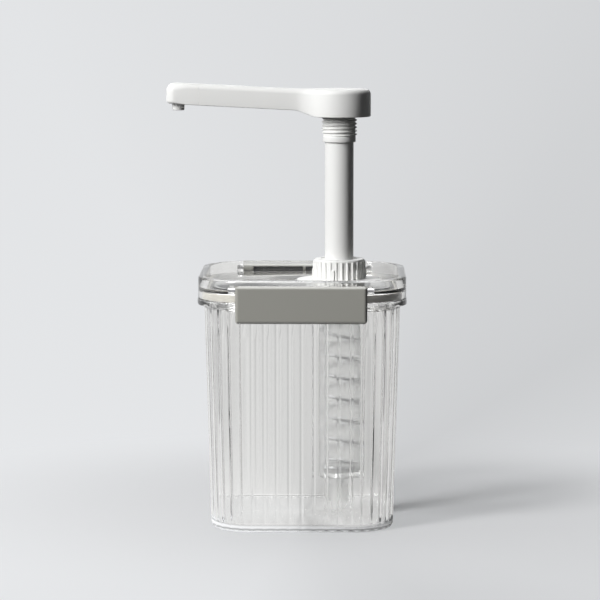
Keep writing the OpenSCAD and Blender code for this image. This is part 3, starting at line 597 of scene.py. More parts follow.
@dataclass
class Studio:
    """Pale floor, soft light from the front left and from behind, and the photograph's view.

    The eye and its aim are in millimetres, and the lamps, the floor and the haze in metres.
    """

    eye: Vector = field(default_factory=lambda: Vector((25.4, -1749.8, 328.9)))
    aim: Vector = field(default_factory=lambda: Vector((-1.7, 0.0, 130.8)))
    lens: float = 177.3
    sensor: float = 36.0
    sight: float = 200.0
    floor_rings: tuple[float, ...] = (0.0, 0.5, 2.0, 8.0, 40.0)
    floor_sides: int = 64
    floor_roughness: float = 0.9
    floor_specular: float = 0.1
    paper: Colour = (0.93, 0.938, 0.95)
    tint: Colour = (0.985, 1.0, 1.02)
    warm: Colour = (1.0, 1.0, 0.995)
    room: Levels = (
        (0.0, 0.82), (0.44, 0.78), (0.5, 0.72), (0.56, 0.65), (0.64, 0.62), (0.8, 0.68), (1.0, 0.7),
    )
    room_mirrored: Levels = (
        (0.0, 1.1), (0.12, 0.95), (0.3, 0.82), (0.44, 0.78), (0.5, 0.72), (0.56, 0.66), (0.78, 0.58),
        (0.92, 0.35), (1.0, 0.06),
    )
    room_through: Levels = (
        (0.0, 0.82), (0.3, 0.84), (0.44, 0.76), (0.5, 0.66), (0.56, 0.53), (0.64, 0.6), (0.74, 0.76),
        (1.0, 0.74),
    )
    lamps_at: Place = (0.0, 0.0, 0.13)
    key_from: Place = (-1.36, -1.21, 1.15)
    key_power: float = 51.0
    key_size: Oblong = (0.45, 1.3)
    top_from: Place = (-0.25, 0.2, 1.9)
    top_power: float = 2.5
    top_size: Oblong = (1.0, 1.0)
    rear_from: Place = (0.1, 1.75, 1.0)
    rear_power: float = 15.0
    rear_size: Oblong = (1.4, 1.0)
    fill: float = 0.03
    bounce: float = 0.06
    haze: float = 0.2
    haze_from: float = 0.08
    haze_full: float = 0.32
    ceiling: float = 5.0
    ceiling_from: float = 0.4
    ceiling_full: float = 0.95
    # Painted contact shadow on the floor under the tank's foot: the ramp's levels, and the span it runs over.
    contact: Levels = ((0.0, 1.0), (0.44, 1.0), (0.5, 0.8), (0.56, 0.8), (0.62, 1.0))
    contact_span: float = 40.0

    def camera(self) -> None:
        """Long lens, above the lid, looking slightly down."""
        data = bpy.data.cameras.new("view")
        data.lens = self.lens
        data.sensor_width = self.sensor
        data.clip_end = self.sight
        view = bpy.data.objects.new("view", data)
        view.location = self.eye * MM
        view.rotation_euler = (self.aim - self.eye).to_track_quat("-Z", "Y").to_euler()
        bpy.context.scene.collection.objects.link(view)
        bpy.context.scene.camera = view

    def side_glow(self, tree: Tree, across: Socket) -> Socket:
        """Brightness of the surroundings, from bright at the left to dark at the right.

        Args:
            tree: Node tree to add the ramp to.
            across: Socket that runs from -1 at the left to 1 at the right.

        Returns:
            Colour socket of the ramp.
        """
        along = reckon(tree, "MULTIPLY_ADD", across, 0.5, 0.5)
        ray = add_node(tree, "ShaderNodeLightPath").outputs
        colour = grey_ramp(tree, along, self.room, self.tint)
        for kind, levels, tint in (
            ("Is Glossy Ray", self.room_mirrored, self.tint),
            ("Is Transmission Ray", self.room_through, self.warm),
        ):
            pick = add_node(tree, "ShaderNodeMix", {
                "Factor": ray[kind], MIX_FIRST: colour, MIX_SECOND: grey_ramp(tree, along, levels, tint),
            }, data_type="RGBA")
            colour = pick.outputs[MIX_RESULT]
        return colour

    def painted_contact_shadow(self, tree: Tree, place: Socket) -> Socket:
        """Painted contact shadow: a dark line on the floor under the rim of the tank's foot.

        The distance from the square that joins the four corner axes is the corner radius at that place;
        the ramp runs over it from 0 to the contact's span.

        Args:
            tree: Node tree to add to.
            place: Socket with the place on the floor.

        Returns:
            Colour socket, 1 away from the foot.
        """
        corner = SquareRing().corner_at * MM
        folded = reckon(tree, "ABSOLUTE", place, kind=VECTOR)
        beyond = reckon(tree, "SUBTRACT", folded, (corner, corner, 0), kind=VECTOR)
        outside = reckon(tree, "MAXIMUM", beyond, kind=VECTOR)
        apart = reckon(tree, "LENGTH", outside, kind=VECTOR)
        along = add_node(tree, "ShaderNodeMapRange", {"Value": apart, "From Max": self.contact_span * MM})
        return grey_ramp(tree, along.outputs["Result"], self.contact)

    def floor(self) -> bpy.types.Object:
        """Wide floor that takes the shadow near the object and turns into the pale room far away.

        What is seen by reflection or through clear plastic is the pale room everywhere, and the light that
        the floor throws back on the object is damped.

        Returns:
            The floor.
        """
        angle = np.linspace(0, 2 * math.pi, self.floor_sides, endpoint=False)[:, None]
        radius = np.array(self.floor_rings)[None] / MM
        grid = np.stack([radius * np.cos(angle), radius * np.sin(angle), 0 * radius * angle], axis=-1)
        floor = skin("floor", grid, wrap_v=False)
        made, shader = blank_material("floor_paper")
        tree = made.node_tree
        feed(tree, shader, {
            "Base Color": (*self.paper, 1), "Roughness": self.floor_roughness,
            "Specular IOR Level": self.floor_specular,
        })
        place = add_node(tree, "ShaderNodeTexCoord").outputs["Object"]
        heading = reckon(tree, "NORMALIZE", place, kind=VECTOR)
        across = add_node(tree, "ShaderNodeSeparateXYZ", {0: heading}).outputs["X"]
        # The floor glows with painted light from the room's ramp, brighter at the left, and the painted
        # contact shadow darkens it.
        room = self.side_glow(tree, across)
        shaded = reckon(tree, "MULTIPLY", room, self.painted_contact_shadow(tree, place), kind=VECTOR)
        glow = add_node(tree, "ShaderNodeEmission", {"Color": shaded})
        far = add_node(tree, "ShaderNodeMapRange", {
            "Value": reckon(tree, "LENGTH", place, kind=VECTOR), "From Min": self.haze_from,
            "From Max": self.haze_full, "To Min": self.haze,
        }, interpolation_type="SMOOTHSTEP")
        ray = add_node(tree, "ShaderNodeLightPath").outputs
        seen = reckon(tree, "MULTIPLY", ray["Is Camera Ray"], far.outputs["Result"])
        mirrored = reckon(tree, "MAXIMUM", ray["Is Glossy Ray"], ray["Is Transmission Ray"])
        share = reckon(tree, "MAXIMUM", seen, mirrored)
        lit = blend(tree, share, shader.outputs["BSDF"], glow.outputs["Emission"])
        bounced = (*(self.bounce * part for part in self.paper), 1)
        dull = add_node(tree, "ShaderNodeBsdfDiffuse", {"Color": bounced})
        damped = blend(tree, ray["Diffuse Depth"], lit, dull.outputs["BSDF"])
        feed(tree, tree.nodes["Material Output"], {"Surface": damped})
        floor.data.materials.append(made)
        return floor

    def lamp(self, name: str, place: Place, size: Oblong, power: float) -> bpy.types.Object:
        """Oblong soft lamp that faces the middle of the object.

        Args:
            name: Name of the lamp.
            place: Its place in metres.
            size: Its width and height in metres.
            power: Its power in watts.

        Returns:
            The lamp.
        """
        data = bpy.data.lights.new(name, "AREA")
        data.shape = "RECTANGLE"
        data.size, data.size_y = size
        data.energy = power
        lamp = bpy.data.objects.new(name, data)
        lamp.location = place
        aim = Vector(self.lamps_at) - Vector(place)
        lamp.rotation_euler = aim.to_track_quat("-Z", "Y").to_euler()
        bpy.context.scene.collection.objects.link(lamp)
        return lamp

    def rear_lamp(self, floor: bpy.types.Object) -> None:
        """Lamp behind the object for its matt sides, which spares the floor and is mirrored nowhere.

        Args:
            floor: The floor to spare.
        """
        lamp = self.lamp("rear", self.rear_from, self.rear_size, self.rear_power)
        lamp.visible_glossy = False
        lamp.visible_transmission = False
        spared = bpy.data.collections.new("not lit from behind")
        spared.objects.link(floor)
        spared.collection_objects[0].light_linking.link_state = "EXCLUDE"
        lamp.light_linking.receiver_collection = spared

    def surroundings(self) -> None:
        """Room with a bright ceiling to mirror, which adds only a little light of its own."""
        world = bpy.data.worlds.new("room")
        bpy.context.scene.world = world
        world.use_nodes = True
        tree = world.node_tree
        place = add_node(tree, "ShaderNodeTexCoord").outputs["Generated"]
        heading = add_node(tree, "ShaderNodeSeparateXYZ", {0: place}).outputs
        ray = add_node(tree, "ShaderNodeLightPath").outputs
        level = add_node(tree, "ShaderNodeMapRange", {
            "Value": ray["Diffuse Depth"], "To Min": 1.0, "To Max": self.fill,
        }).outputs["Result"]
        overhead = add_node(tree, "ShaderNodeMapRange", {
            "Value": heading["Z"], "From Min": self.ceiling_from, "From Max": self.ceiling_full,
            "To Max": self.ceiling,
        }, interpolation_type="SMOOTHSTEP").outputs["Result"]
        strength = reckon(tree, "MULTIPLY_ADD", ray["Is Glossy Ray"], overhead, level)
        glow = self.side_glow(tree, heading["X"])
        feed(tree, tree.nodes["Background"], {"Color": glow, "Strength": strength})

    def build(self) -> None:
        """Sets up the view, the floor and the light."""
        bpy.context.scene.view_settings.view_transform = "Standard"
        self.camera()
        floor = self.floor()
        self.lamp("key", self.key_from, self.key_size, self.key_power)
        self.lamp("top", self.top_from, self.top_size, self.top_power)
        self.rear_lamp(floor)
        self.surroundings()


@dataclass
class Tank:
    """Square tank with drafted, fluted walls and a flange round its mouth."""

    top: float
    ring: SquareRing = SquareRing(samples=14)
    foot_out: float = 24.5
    draft: float = 4.0
    flange_t: float = 3.5
    skin_t: float = 3.2
    floor_t: float = 3.0
    fillet: float = 3.0
    fillet_rows: int = 9
    flange_out: float = 3.8
    flange_neck: float = 0.1
    flange_rounds: tuple[float, ...] = (0.3, 0.6, 0.5, 0.4)
    flute_depth: float = 0.8
    flute_crest: float = 0.3
    flute_stop: float = 1.2
    flute_hold: float = 0.6
    flute_end: Levels = ((-0.4, 1.0), (-0.2, 0.8), (0.0, 0.35), (0.15, 0.0))
    follow: float = 0.95
    follow_from: float = 4.0
    crest_fill: float = 0.22
    wall_rows: int = 10
    row_gap: float = 1.0

    def wall(self, z: np.ndarray | float) -> np.ndarray:
        """Corner radius of the drafted outside at each height."""
        return self.foot_out + self.draft * np.asarray(z, float) / (self.top - self.flange_t)

    def flute(self, cell: np.ndarray) -> np.ndarray:
        """Depth across a flute: a round cut of radius (h^2 + d^2) / 2d over half width h, crests between.

        Args:
            cell: Places from 0 to 1 in a flute's cell.

        Returns:
            Depth at each place.
        """
        pitch = 2 * self.ring.corner_at / self.ring.side_cells
        half = (pitch - self.flute_crest) / 2
        radius = (half**2 + self.flute_depth**2) / (2 * self.flute_depth)
        x = np.minimum(np.abs(cell - 0.5) * pitch, half)
        return np.sqrt(radius**2 - x**2) - radius + self.flute_depth

    def shell(self) -> np.ndarray:
        """Closed skin from the middle of the underside, up the flutes, over the flange and down inside.

        Each column has one height and, before the flutes, one corner radius. Outside, the flutes' depth comes
        off the radius and runs out below the flange; inside, the wall follows the flutes and runs out at both
        ends.

        Returns:
            Grid of points, one row for each place round the tank.
        """
        core, normal, cell = self.ring.lay_out()
        wall_top = self.top - self.flange_t
        f, inner, run_out, gap = self.fillet, -self.skin_t, self.follow_from, self.row_gap
        turn = np.linspace(-math.pi / 2, 0, self.fillet_rows)
        edge = self.wall(f) - f
        foot = np.stack([edge + f * np.cos(turn), f + f * np.sin(turn)], axis=1)
        fade = wall_top - self.flute_stop
        end_rise, end_share = np.array(self.flute_end).T
        up = np.linspace(f + gap, fade - self.flute_hold, self.wall_rows)
        rise = np.concatenate([up, fade + end_rise])
        brim = self.wall(wall_top) + self.flange_out
        mouth = self.wall(self.top) + inner
        root, under, over, lip = self.flange_rounds
        flange = rounded([
            (self.wall(wall_top), wall_top - self.flange_neck, 0), (brim - self.flange_out, wall_top, root),
            (brim, wall_top, under), (brim, self.top, over),
            (mouth, self.top, lip), (mouth, self.top - gap, 0),
        ], steps=4, closed=False)
        deep = self.floor_t + f
        inside_wall = np.linspace(fade - run_out, deep + run_out, self.wall_rows)
        down = np.concatenate([[self.top - 2 * gap, fade], inside_wall, [deep + run_out / 2, deep]])
        base = self.wall(deep) + inner - f
        dish = np.stack([base + f * np.cos(turn[::-1]), deep + f * np.sin(turn[::-1])], axis=1)
        out = np.concatenate([
            [edge], foot[:, 0], self.wall(rise), flange[:, 0], self.wall(down) + inner, dish[:, 0], [base],
        ])
        z = np.concatenate([[0], foot[:, 1], rise, flange[:, 1], down, dish[:, 1], [self.floor_t]])
        fluted = np.zeros(len(z))
        first = 1 + len(foot)
        fluted[1 : first + len(up)] = 1
        fluted[first + len(up) : first + len(rise)] = end_share
        follows = np.zeros(len(z))
        inside = first + len(rise) + len(flange)
        follows[inside : inside + len(down)] = smoothstep(np.minimum(fade - down, down - deep) / run_out)
        depth = self.flute(cell)[:, None]
        cut = self.wall(z)[None] - depth * fluted[None]
        out = np.where(fluted[None] > 0, np.minimum(out[None], cut), out[None])
        behind = np.minimum(self.flute_depth - depth, self.flute_depth - self.crest_fill)
        out = out + self.follow * behind * follows[None]
        plan = core[:, None] + out[..., None] * normal[:, None]
        plan[:, [0, -1]] = 0
        return np.concatenate([plan, np.broadcast_to(z[None, :, None], (*plan.shape[:2], 1))], axis=-1)

    def build(self, shop: Workshop) -> None:
        """Makes the tank's shell."""
        shop.dress(skin("tank_shell", self.shell(), wrap_v=False), CLEAR, Body.TANK, "tank")


@dataclass
class Lid:
    """Clear lid with a raised rim, a plug skirt, hinge ears and a hole for the pump, and its gasket."""

    seat: float
    ring: SquareRing = SquareRing(samples=8)
    outer: float = 31.9
    wall: float = 29.5
    wall_gap: float = 0.3
    rim_h: float = 6.0
    rim_inner: float = 27.4
    panel_t: float = 2.2
    moat_in: float = 24.2
    moat_deep: float = 0.7
    plug_in: float = 22.8
    plug_out: float = 24.8
    plug_h: float = 10.8
    hole_r: float = 15.5
    gasket_in: float = 25.0
    gasket_out: float = 29.3
    gasket_h: float = 4.8
    gasket_round: float = 0.8
    rim_round: float = 1.3
    rim_in_round: float = 0.8
    soft_round: float = 0.5
    small_round: float = 0.3
    hole_round: float = 0.15
    plug_round: float = 0.6
    wall_round: float = 0.4
    ear_x: float = 40.1
    ear_w: float = 3.5
    ear_r: float = 2.2
    ear_bevel: float = 0.3
    ear_inset: float = 0.12
    ear_steps: int = 48
    ear_root: float = 57.3
    ear_root_square: float = 3.0
    hinge_y: float = 63.8
    hinge_rise: float = 1.0
    bore_r: float = 1.05

    @property
    def panel_z(self) -> float:
        """Height of the panel's underside."""
        return self.seat + self.gasket_h

    @property
    def panel_top(self) -> float:
        """Height of the panel's upper face."""
        return self.panel_z + self.panel_t

    @property
    def hinge_z(self) -> float:
        """Height of the latches' hinge axes."""
        return self.panel_top + self.hinge_rise

    def carried(self, profile: np.ndarray) -> np.ndarray:
        """Profile carried round the lid.

        Its first coordinate is the corner radius down to the plug's inside, and below that it runs
        straight across the panel, to 0 at the edge of the pump's hole.

        Args:
            profile: Rows of corner radius and height.

        Returns:
            Grid of points, one row for each place round the lid.
        """
        core, normal, _ = self.ring.lay_out()
        out = profile[:, 0]
        plan = core[:, None] + np.maximum(out, self.plug_in)[None, :, None] * normal[:, None]
        hole = np.array([PUMP_X, 0.0])
        ray = plan - hole
        edge = hole + self.hole_r * ray / np.linalg.norm(ray, axis=-1, keepdims=True)
        share = np.clip(1 - out / self.plug_in, 0, 1)[None, :, None]
        plan = plan * (1 - share) + edge * share
        z = np.broadcast_to(profile[None, :, 1, None], (*plan.shape[:2], 1))
        return np.concatenate([plan, z], axis=-1)

    def shell(self) -> np.ndarray:
        """The whole lid but its ears, as one closed profile carried round.

        The profile goes up the outside, over the rim, down to the moat, across the panel to the hole and
        back under it, round the plug and up inside the wall.

        Returns:
            Closed grid of points.
        """
        foot = self.seat + self.wall_gap
        rim_top = self.panel_top + self.rim_h
        moat = self.panel_top - self.moat_deep
        plug_foot = self.panel_z - self.plug_h
        midway = self.plug_in / 2
        return self.carried(rounded([
            (self.outer, foot, self.soft_round), (self.outer, rim_top, self.rim_round),
            (self.rim_inner, rim_top, self.rim_in_round), (self.rim_inner, moat, self.soft_round),
            (self.moat_in, moat, self.small_round), (self.moat_in, self.panel_top, self.small_round),
            (midway, self.panel_top, 0), (0, self.panel_top, self.hole_round),
            (0, self.panel_z, self.hole_round), (midway, self.panel_z, 0),
            (self.plug_in, self.panel_z, self.soft_round), (self.plug_in, plug_foot, self.plug_round),
            (self.plug_out, plug_foot, self.plug_round), (self.plug_out, self.panel_z, self.small_round),
            (self.wall, self.panel_z, self.wall_round), (self.wall, foot, self.wall_round),
        ]))

    def gasket(self) -> np.ndarray:
        """Soft square-section ring, carried round as the lid is.

        Returns:
            Closed grid of points.
        """
        low, high, soft = self.seat, self.panel_z, self.gasket_round
        return self.carried(rounded([
            (self.gasket_in, low, soft), (self.gasket_out, low, soft),
            (self.gasket_out, high, soft), (self.gasket_in, high, soft),
        ]))

    def ears(self) -> list[np.ndarray]:
        """Four bored hinge ears: a round nose on a straight root, drilled for the pin.

        The nose is r (cos a, sin a) in front, and behind it the same angle runs out along the root. The
        outline is paired with the bore's circle, and both are carried across the ear's width.

        Returns:
            One closed grid for each ear.
        """
        angle = np.linspace(0, 2 * math.pi, self.ear_steps, endpoint=False)
        ahead = np.cos(angle) > 0
        nose_y = np.cos(angle) * np.where(ahead, self.ear_r, self.hinge_y - self.ear_root)
        root_z = np.clip(np.sin(angle) * self.ear_root_square, -1, 1)
        nose_z = np.where(ahead, np.sin(angle), root_z) * self.ear_r
        bore_y, bore_z = self.bore_r * np.cos(angle), self.bore_r * np.sin(angle)
        half, bevel, inset = self.ear_w / 2, self.ear_bevel, self.ear_inset
        steps = np.array([
            (0, bevel - half), (0, half - bevel), (inset, half), (1, half), (1, -half), (inset, -half),
        ])
        inward, along = steps[None, :, 0], steps[None, :, 1] + 0 * angle[:, None]
        y = self.hinge_y + (1 - inward) * nose_y[:, None] + inward * bore_y[:, None]
        z = self.hinge_z + (1 - inward) * nose_z[:, None] + inward * bore_z[:, None]
        return [
            np.stack([side * (self.ear_x + along), front * y, z], axis=-1)
            for front in (-1, 1) for side in (-1, 1)
        ]

    def build(self, shop: Workshop) -> None:
        """Makes the lid, its ears and its gasket.

        Args:
            shop: Dresses the pieces.
        """
        shop.dress(skin("lid_shell", self.shell()), CLEAR_LID, Body.TANK, "lid")
        shop.dress(skin("lid_ears", *self.ears()), CLEAR_LID, Body.TANK)
        shop.dress(skin("lid_gasket_ring", self.gasket()), CREAM, Body.TANK, "lid_gasket")


@dataclass
class RecessShadeStrips:
    """Near-black strips of painted shade along the back of each latch's recess, one on each side of its rib.
    """

    hinge_z: float
    back_y: float = 64.5
    thick: float = 0.5
    inner_x: float = 0.9
    outer_x: float = 31.3
    below: float = 3.0
    above: float = 1.0
    corner: float = 0.4
    edge: float = 0.2

    def strip(self, side: int, front: int) -> np.ndarray:
        """Rounded rectangle pushed out of the recess's back wall, its last loop drawn in by the edge.

        Args:
            side: -1 for the left strip, 1 for the right.
            front: -1 for the front latch, 1 for the rear.

        Returns:
            Closed grid of three loops and a pole at each end.
        """
        low, high = self.hinge_z - self.below, self.hinge_z + self.above
        outline = rounded([
            (self.inner_x, low, self.corner), (self.outer_x, low, self.corner),
            (self.outer_x, high, self.corner), (self.inner_x, high, self.corner),
        ])
        middle = outline.mean(0)
        inset = outline + self.edge * np.sign(middle - outline)
        loops = [0 * outline + middle, outline, outline, inset, 0 * outline + middle]
        deep = [0.0, 0.0, self.thick - self.edge, self.thick, self.thick]
        return np.stack([
            np.stack([side * loop[:, 0], front * (self.back_y - out) + 0 * loop[:, 0], loop[:, 1]], axis=-1)
            for loop, out in zip(loops, deep)
        ])

    def build(self, shop: Workshop) -> None:
        """Makes both latches' strips of painted shade.

        Args:
            shop: Dresses the pieces.
        """
        for front, body in ((-1, Body.FRONT_LATCH), (1, Body.REAR_LATCH)):
            strips = [self.strip(side, front) for side in (-1, 1)]
            shop.dress(skin(f"{body.value}_liner", *strips, wrap_u=False), RECESS_SHADE, body)


@dataclass
class Spring:
    """Return spring in the pump's cylinder: a closed turn, open turns and a closed turn, left-handed."""

    low: float
    high: float
    radius: float = 9.3
    wire: float = 1.6
    wire_sides: int = 12
    open_turns: int = 7
    end_rise: float = 2.2
    foot_gap: float = 0.15
    stroke: float = 68.0
    rings: int = 40

    def coil(self) -> np.ndarray:
        """Round wire along the helix (r cos a, -r sin a, z(a)).

        Returns:
            Grid of points, one row for each step along the wire.
        """
        turns = self.open_turns + 2
        t = np.linspace(0, turns, turns * self.rings + 1)
        base, top = self.low + self.wire / 2, self.high - self.wire / 2
        z = np.interp(t, [0, 1, turns - 1, turns], [base, base + self.end_rise, top - self.end_rise, top])
        a = 2 * math.pi * t
        out = np.stack([np.cos(a), -np.sin(a), 0 * a], axis=1)
        path = self.radius * out + np.stack([0 * a + PUMP_X, 0 * a, z], axis=1)
        b = np.linspace(0, 2 * math.pi, self.wire_sides, endpoint=False)
        return tube_along(path, out, self.wire / 2 * np.stack([np.cos(b), np.sin(b)], axis=1))

    def build(self, shop: Workshop) -> None:
        """Makes the coil, with a mesh of its own.

        Args:
            shop: Dresses the piece.
        """
        piece = skin("spring_coil", self.coil(), wrap_u=False)
        shop.dress(piece, STEEL, Body.TANK, "spring")
        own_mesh(piece)


def both_sides(points: np.ndarray, inward: np.ndarray) -> tuple[np.ndarray, np.ndarray]:
    """Outline of one side, followed by its mirror image in the first axis from the far end back.

    Args:
        points: Plan points of one side, the last of them on the axis.
        inward: Inward normals of the points.

    Returns:
        Plan points and inward normals of the whole outline, in order.
    """
    flip = np.array([1.0, -1.0])
    return np.concatenate([points, points[-2::-1] * flip]), np.concatenate([inward, inward[-2::-1] * flip])


@dataclass
class Head:
    """Pump head: a round boss that runs out into a long spout, on a threaded sleeve.

    Distances d run from the pump's axis towards the spout's end.
    """

    foot: float
    ring_h: float = 3.4
    ring_r: float = 9.7
    sleeve_r: float = 9.5
    sleeve_in: float = 0.5
    sleeve_rounds: tuple[float, ...] = (0.2, 0.35, 0.3, 0.05)
    socket_r: float = 8.5
    thread_h: float = 11.7
    thread_pitch: float = 2.1
    thread_out: float = 0.95
    thread_sunk: float = 0.1
    thread_foot: float = 0.6
    thread_crest: float = 0.32
    thread_turns: float = 5.1
    thread_run_out: float = 0.3
    thread_end: tuple[float, float] = (0.05, 0.3)
    thread_start: float = 0.35
    thread_angle: float = 1.25 * math.pi
    thread_steps: int = 300
    boss_r: float = 18.6
    boss_h: float = 16.2
    hollow_r: float = 20.0
    half_w: float = 7.8
    arm_h: float = 12.4
    arm_drop: float = 0.3
    arm_from: float = 12.0
    arm_full: float = 27.0
    slope: float = 0.05
    bend: float = 5.0
    reach: float = 102.2
    tip_l: float = 19.3
    tip_soft_from: float = 13.0
    tip_soft_full: float = 3.0
    tip_corner: float = 5.2
    joint_gap: float = 0.04
    joint_bevel: float = 0.07
    top_round: float = 2.9
    tip_round: float = 4.9
    low_round: float = 0.5
    tip_low_round: float = 2.0
    round_steps: int = 8
    arm_steps: tuple[int, ...] = (16, 18, 40)
    tip_steps: tuple[int, ...] = (8, 14, 4)
    row_gap: float = 1.0

    @property
    def boss_z(self) -> float:
        """Height of the boss's underside."""
        return self.foot + self.ring_h + self.thread_h

    @property
    def boss_top(self) -> float:
        """Height of the boss's top."""
        return self.boss_z + self.boss_h

    def top(self, d: np.ndarray) -> np.ndarray:
        """Height of the top: level over the boss, then a soft bend into the arm's slope."""
        beyond = d - self.boss_r - self.arm_drop / self.slope
        return self.boss_top + self.slope * self.bend * np.logaddexp(0, beyond / self.bend)

    def low(self, d: np.ndarray) -> np.ndarray:
        """Height of the underside: level under the boss, then an S up to the arm's sloping underside.

        Args:
            d: Distances from the pump's axis.

        Returns:
            Height at each distance.
        """
        arm = self.boss_top - self.arm_drop + self.slope * (d - self.boss_r) - self.arm_h
        share = smoothstep((d - self.arm_from) / (self.arm_full - self.arm_from))
        return self.boss_z + (arm - self.boss_z) * share

    def arm_plan(self) -> tuple[np.ndarray, np.ndarray]:
        """Outline from the joint along one side, a hollow curve, round the boss and back.

        The hollow's circle of radius F touches the arm's side and the boss, so its centre lies F out from
        the side and R + F from the axis.

        Returns:
            Plan points and inward normals, in order.
        """
        joint = self.reach - self.tip_l
        side_steps, hollow_steps, boss_steps = self.arm_steps
        rise, apart = self.half_w + self.hollow_r, self.boss_r + self.hollow_r
        centre = np.array([math.sqrt(apart**2 - rise**2), rise])
        along = np.linspace(joint - self.row_gap, centre[0], side_steps)
        side_d = np.concatenate([[joint, joint - self.joint_bevel], along])
        side = np.stack([side_d, 0 * side_d + self.half_w], axis=1)
        a = np.linspace(0, math.asin(centre[0] / apart), hollow_steps)[1:-1]
        out = np.stack([-np.sin(a), -np.cos(a)], axis=1)
        b = np.linspace(math.atan2(centre[1], centre[0]), math.pi, boss_steps)
        boss = np.stack([np.cos(b), np.sin(b)], axis=1)
        points = np.concatenate([side, centre + self.hollow_r * out, self.boss_r * boss])
        inward = np.concatenate([np.tile([0.0, -1.0], (len(side), 1)), out, -boss])
        return both_sides(points, inward)

    def tip_plan(self) -> tuple[np.ndarray, np.ndarray]:
        """Outline from the joint along one side, round two corners and back.

        Returns:
            Plan points and inward normals, in order.
        """
        joint = self.reach - self.tip_l + self.joint_gap
        corner = np.array([self.reach - self.tip_corner, self.half_w - self.tip_corner])
        side_steps, corner_steps, end_steps = self.tip_steps
        along = np.linspace(joint + self.row_gap, corner[0], side_steps)[:-1]
        side_d = np.concatenate([[joint, joint + self.joint_bevel], along])
        side = np.stack([side_d, 0 * side_d + self.half_w], axis=1)
        a = np.linspace(math.pi / 2, 0, corner_steps)
        out = np.stack([np.cos(a), np.sin(a)], axis=1)
        across = np.linspace(corner[1], 0, end_steps)[1:]
        end = np.stack([0 * across + self.reach, across], axis=1)
        points = np.concatenate([side, corner + self.tip_corner * out, end])
        inward = np.concatenate([
            np.tile([0.0, -1.0], (len(side), 1)), -out, np.tile([-1.0, 0.0], (len(end), 1)),
        ])
        return both_sides(points, inward)

    def moulded(self, plan: tuple[np.ndarray, np.ndarray], spine: tuple[float, float]) -> np.ndarray:
        """Body over an outline, with rounded top and bottom edges.

        Each outline point carries a row from the underside's middle line, round the lower edge, up the
        side, round the upper edge and in to the top's middle line. The first and last rows stand back by
        the joint's bevel.

        Args:
            plan: Outline and inward normals.
            spine: Ends of the middle line on which the top and the underside close.

        Returns:
            Grid of points, one row for each outline point.
        """
        points, inward = plan
        soft_from = self.reach - self.tip_soft_from
        soft_span = self.tip_soft_from - self.tip_soft_full
        near_tip = smoothstep((points[:, 0] - soft_from) / soft_span)[:, None]
        over = self.top_round + (self.tip_round - self.top_round) * near_tip
        under = self.low_round + (self.tip_low_round - self.low_round) * near_tip
        bevel = np.zeros((len(points), 1))
        bevel[[0, -1]] = self.joint_bevel
        a = np.linspace(0, math.pi / 2, self.round_steps)[None]
        inset = np.concatenate([under * (1 - np.sin(a)), over * (1 - np.cos(a))], axis=1) + bevel
        lift = np.concatenate([under * (1 - np.cos(a)) + bevel, over * (np.sin(a) - 1) - bevel], axis=1)
        from_low = np.arange(2 * a.size)[None] < a.size
        ring = points[:, None] + inset[..., None] * inward[:, None]
        z = np.where(from_low, self.low(ring[..., 0]), self.top(ring[..., 0])) + lift
        line = np.clip(points[:, 0], *spine)
        middle = np.stack([line, 0 * line], axis=1)[:, None]
        first, last = ring[:, :1], ring[:, -1:]
        ring = np.concatenate([middle, (middle + first) / 2, ring, (middle + last) / 2, middle], axis=1)
        low_in = self.low(ring[:, :2, 0]) + bevel
        top_in = self.top(ring[:, -2:, 0]) - bevel
        z = np.concatenate([low_in, z, top_in], axis=1)
        return np.stack([PUMP_X - ring[..., 0], ring[..., 1], z], axis=-1)

    def sleeve(self) -> np.ndarray:
        """Tube with a plain ring at its foot, up into the boss.

        Returns:
            Closed grid of points.
        """
        thread_z = self.foot + self.ring_h
        top = self.boss_z + self.sleeve_in
        mouth, under, over, root = self.sleeve_rounds
        return turned(rounded([
            (self.socket_r, self.foot, mouth), (self.ring_r, self.foot, under), (self.ring_r, thread_z, over),
            (self.sleeve_r, thread_z, root), (self.sleeve_r, top, 0), (self.socket_r, top, 0),
        ], steps=3))

    def thread(self) -> np.ndarray:
        """Ridge along the right-handed helix (r cos a, r sin a, z + pitch a / 2 pi), run out at its ends.

        The ridge's foot is sunk in the sleeve, and its height and width shrink to small shares at both ends.

        Returns:
            Grid of points, one row for each step along the helix.
        """
        t = np.linspace(0, self.thread_turns, self.thread_steps)
        a = 2 * math.pi * t + self.thread_angle
        out = np.stack([np.cos(a), np.sin(a), 0 * a], axis=1)
        start = self.foot + self.ring_h + self.thread_start
        sunk, foot, crest = self.thread_sunk, self.thread_foot, self.thread_crest
        path = (self.sleeve_r - sunk) * out
        path += np.stack([0 * t + PUMP_X, 0 * t, start + self.thread_pitch * t], axis=1)
        ridge = rounded([
            (-2 * sunk, -foot, 0), (sunk, -foot, sunk), (self.thread_out, -crest, crest / 2),
            (self.thread_out, crest, crest / 2), (sunk, foot, sunk), (-2 * sunk, foot, 0),
        ], steps=3)
        full = smoothstep(np.minimum(t, self.thread_turns - t) / self.thread_run_out)[:, None, None]
        least = np.array(self.thread_end)
        return tube_along(path, out, ridge[None] * (least + (1 - least) * full))

    def build(self, shop: Workshop) -> None:
        """Makes the arm with its boss, the tip, the sleeve and the thread.

        Args:
            shop: Dresses the pieces.
        """
        joint = self.reach - self.tip_l
        arm = self.moulded(self.arm_plan(), (0.0, joint))
        tip = self.moulded(self.tip_plan(), (joint, self.reach - self.tip_corner))
        shop.dress(skin("spout_arm", arm, wrap_v=False), WHITE, Body.SPOUT, "head")
        shop.dress(skin("spout_end", tip, wrap_v=False), WHITE, Body.SPOUT, "spout_tip")
        shop.dress(skin("head_sleeve", self.sleeve()), WHITE, Body.SPOUT)
        shop.dress(skin("head_thread", self.thread(), wrap_u=False), WHITE, Body.SPOUT)


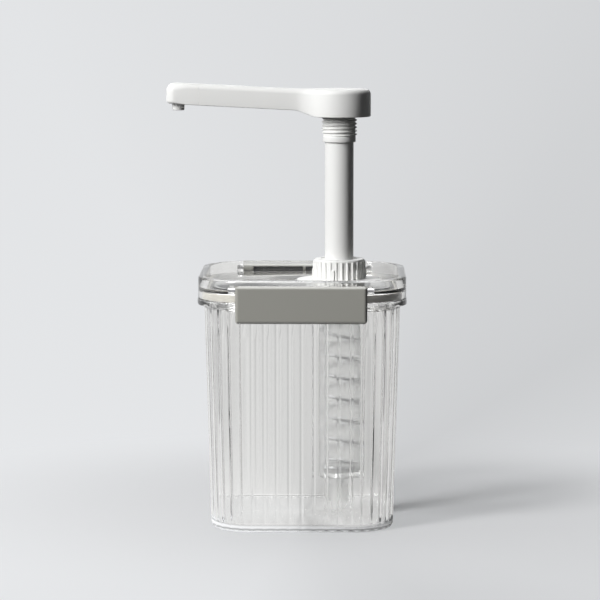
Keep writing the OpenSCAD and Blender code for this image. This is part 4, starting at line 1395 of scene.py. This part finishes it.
def main() -> None:
    """Builds the scene round the frame."""
    logging.basicConfig(level=logging.INFO, format="%(name)s: %(message)s")
    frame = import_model()
    shop = Workshop(frame["nodes"])
    Studio().build()
    tank_top = span("tank")[1]
    lid = Lid(tank_top)
    Tank(tank_top).build(shop)
    lid.build(shop)
    # Strips of painted shade in the latches' recesses.
    RecessShadeStrips(lid.hinge_z).build(shop)
    Spring(*span("spring")).build(shop)
    Head(span("head")[0]).build(shop)
    carried = {
        GREY: ("front_latch", "rear_latch"),
        STEEL: ("front_latch_pins", "rear_latch_pins"),
        BALL: ("inlet_ball", "outlet_ball"),
        WHITE: (
            "pump_flange", "lock_nut", "collar", "stem_guide", "piston", "outlet_stop", "stem",
            "outlet_nozzle",
        ),
        MILKY: ("housing",),
        TUBE: ("dip_tube", "inlet_cage"),
        CREAM: ("nut_gasket", "lip_gasket"),
        SEAL: ("wiper_ring", "piston_seal"),
    }
    for finish, names in carried.items():
        for name in names:
            shop.carry_over(name, finish)


if __name__ == "__main__":
    main()
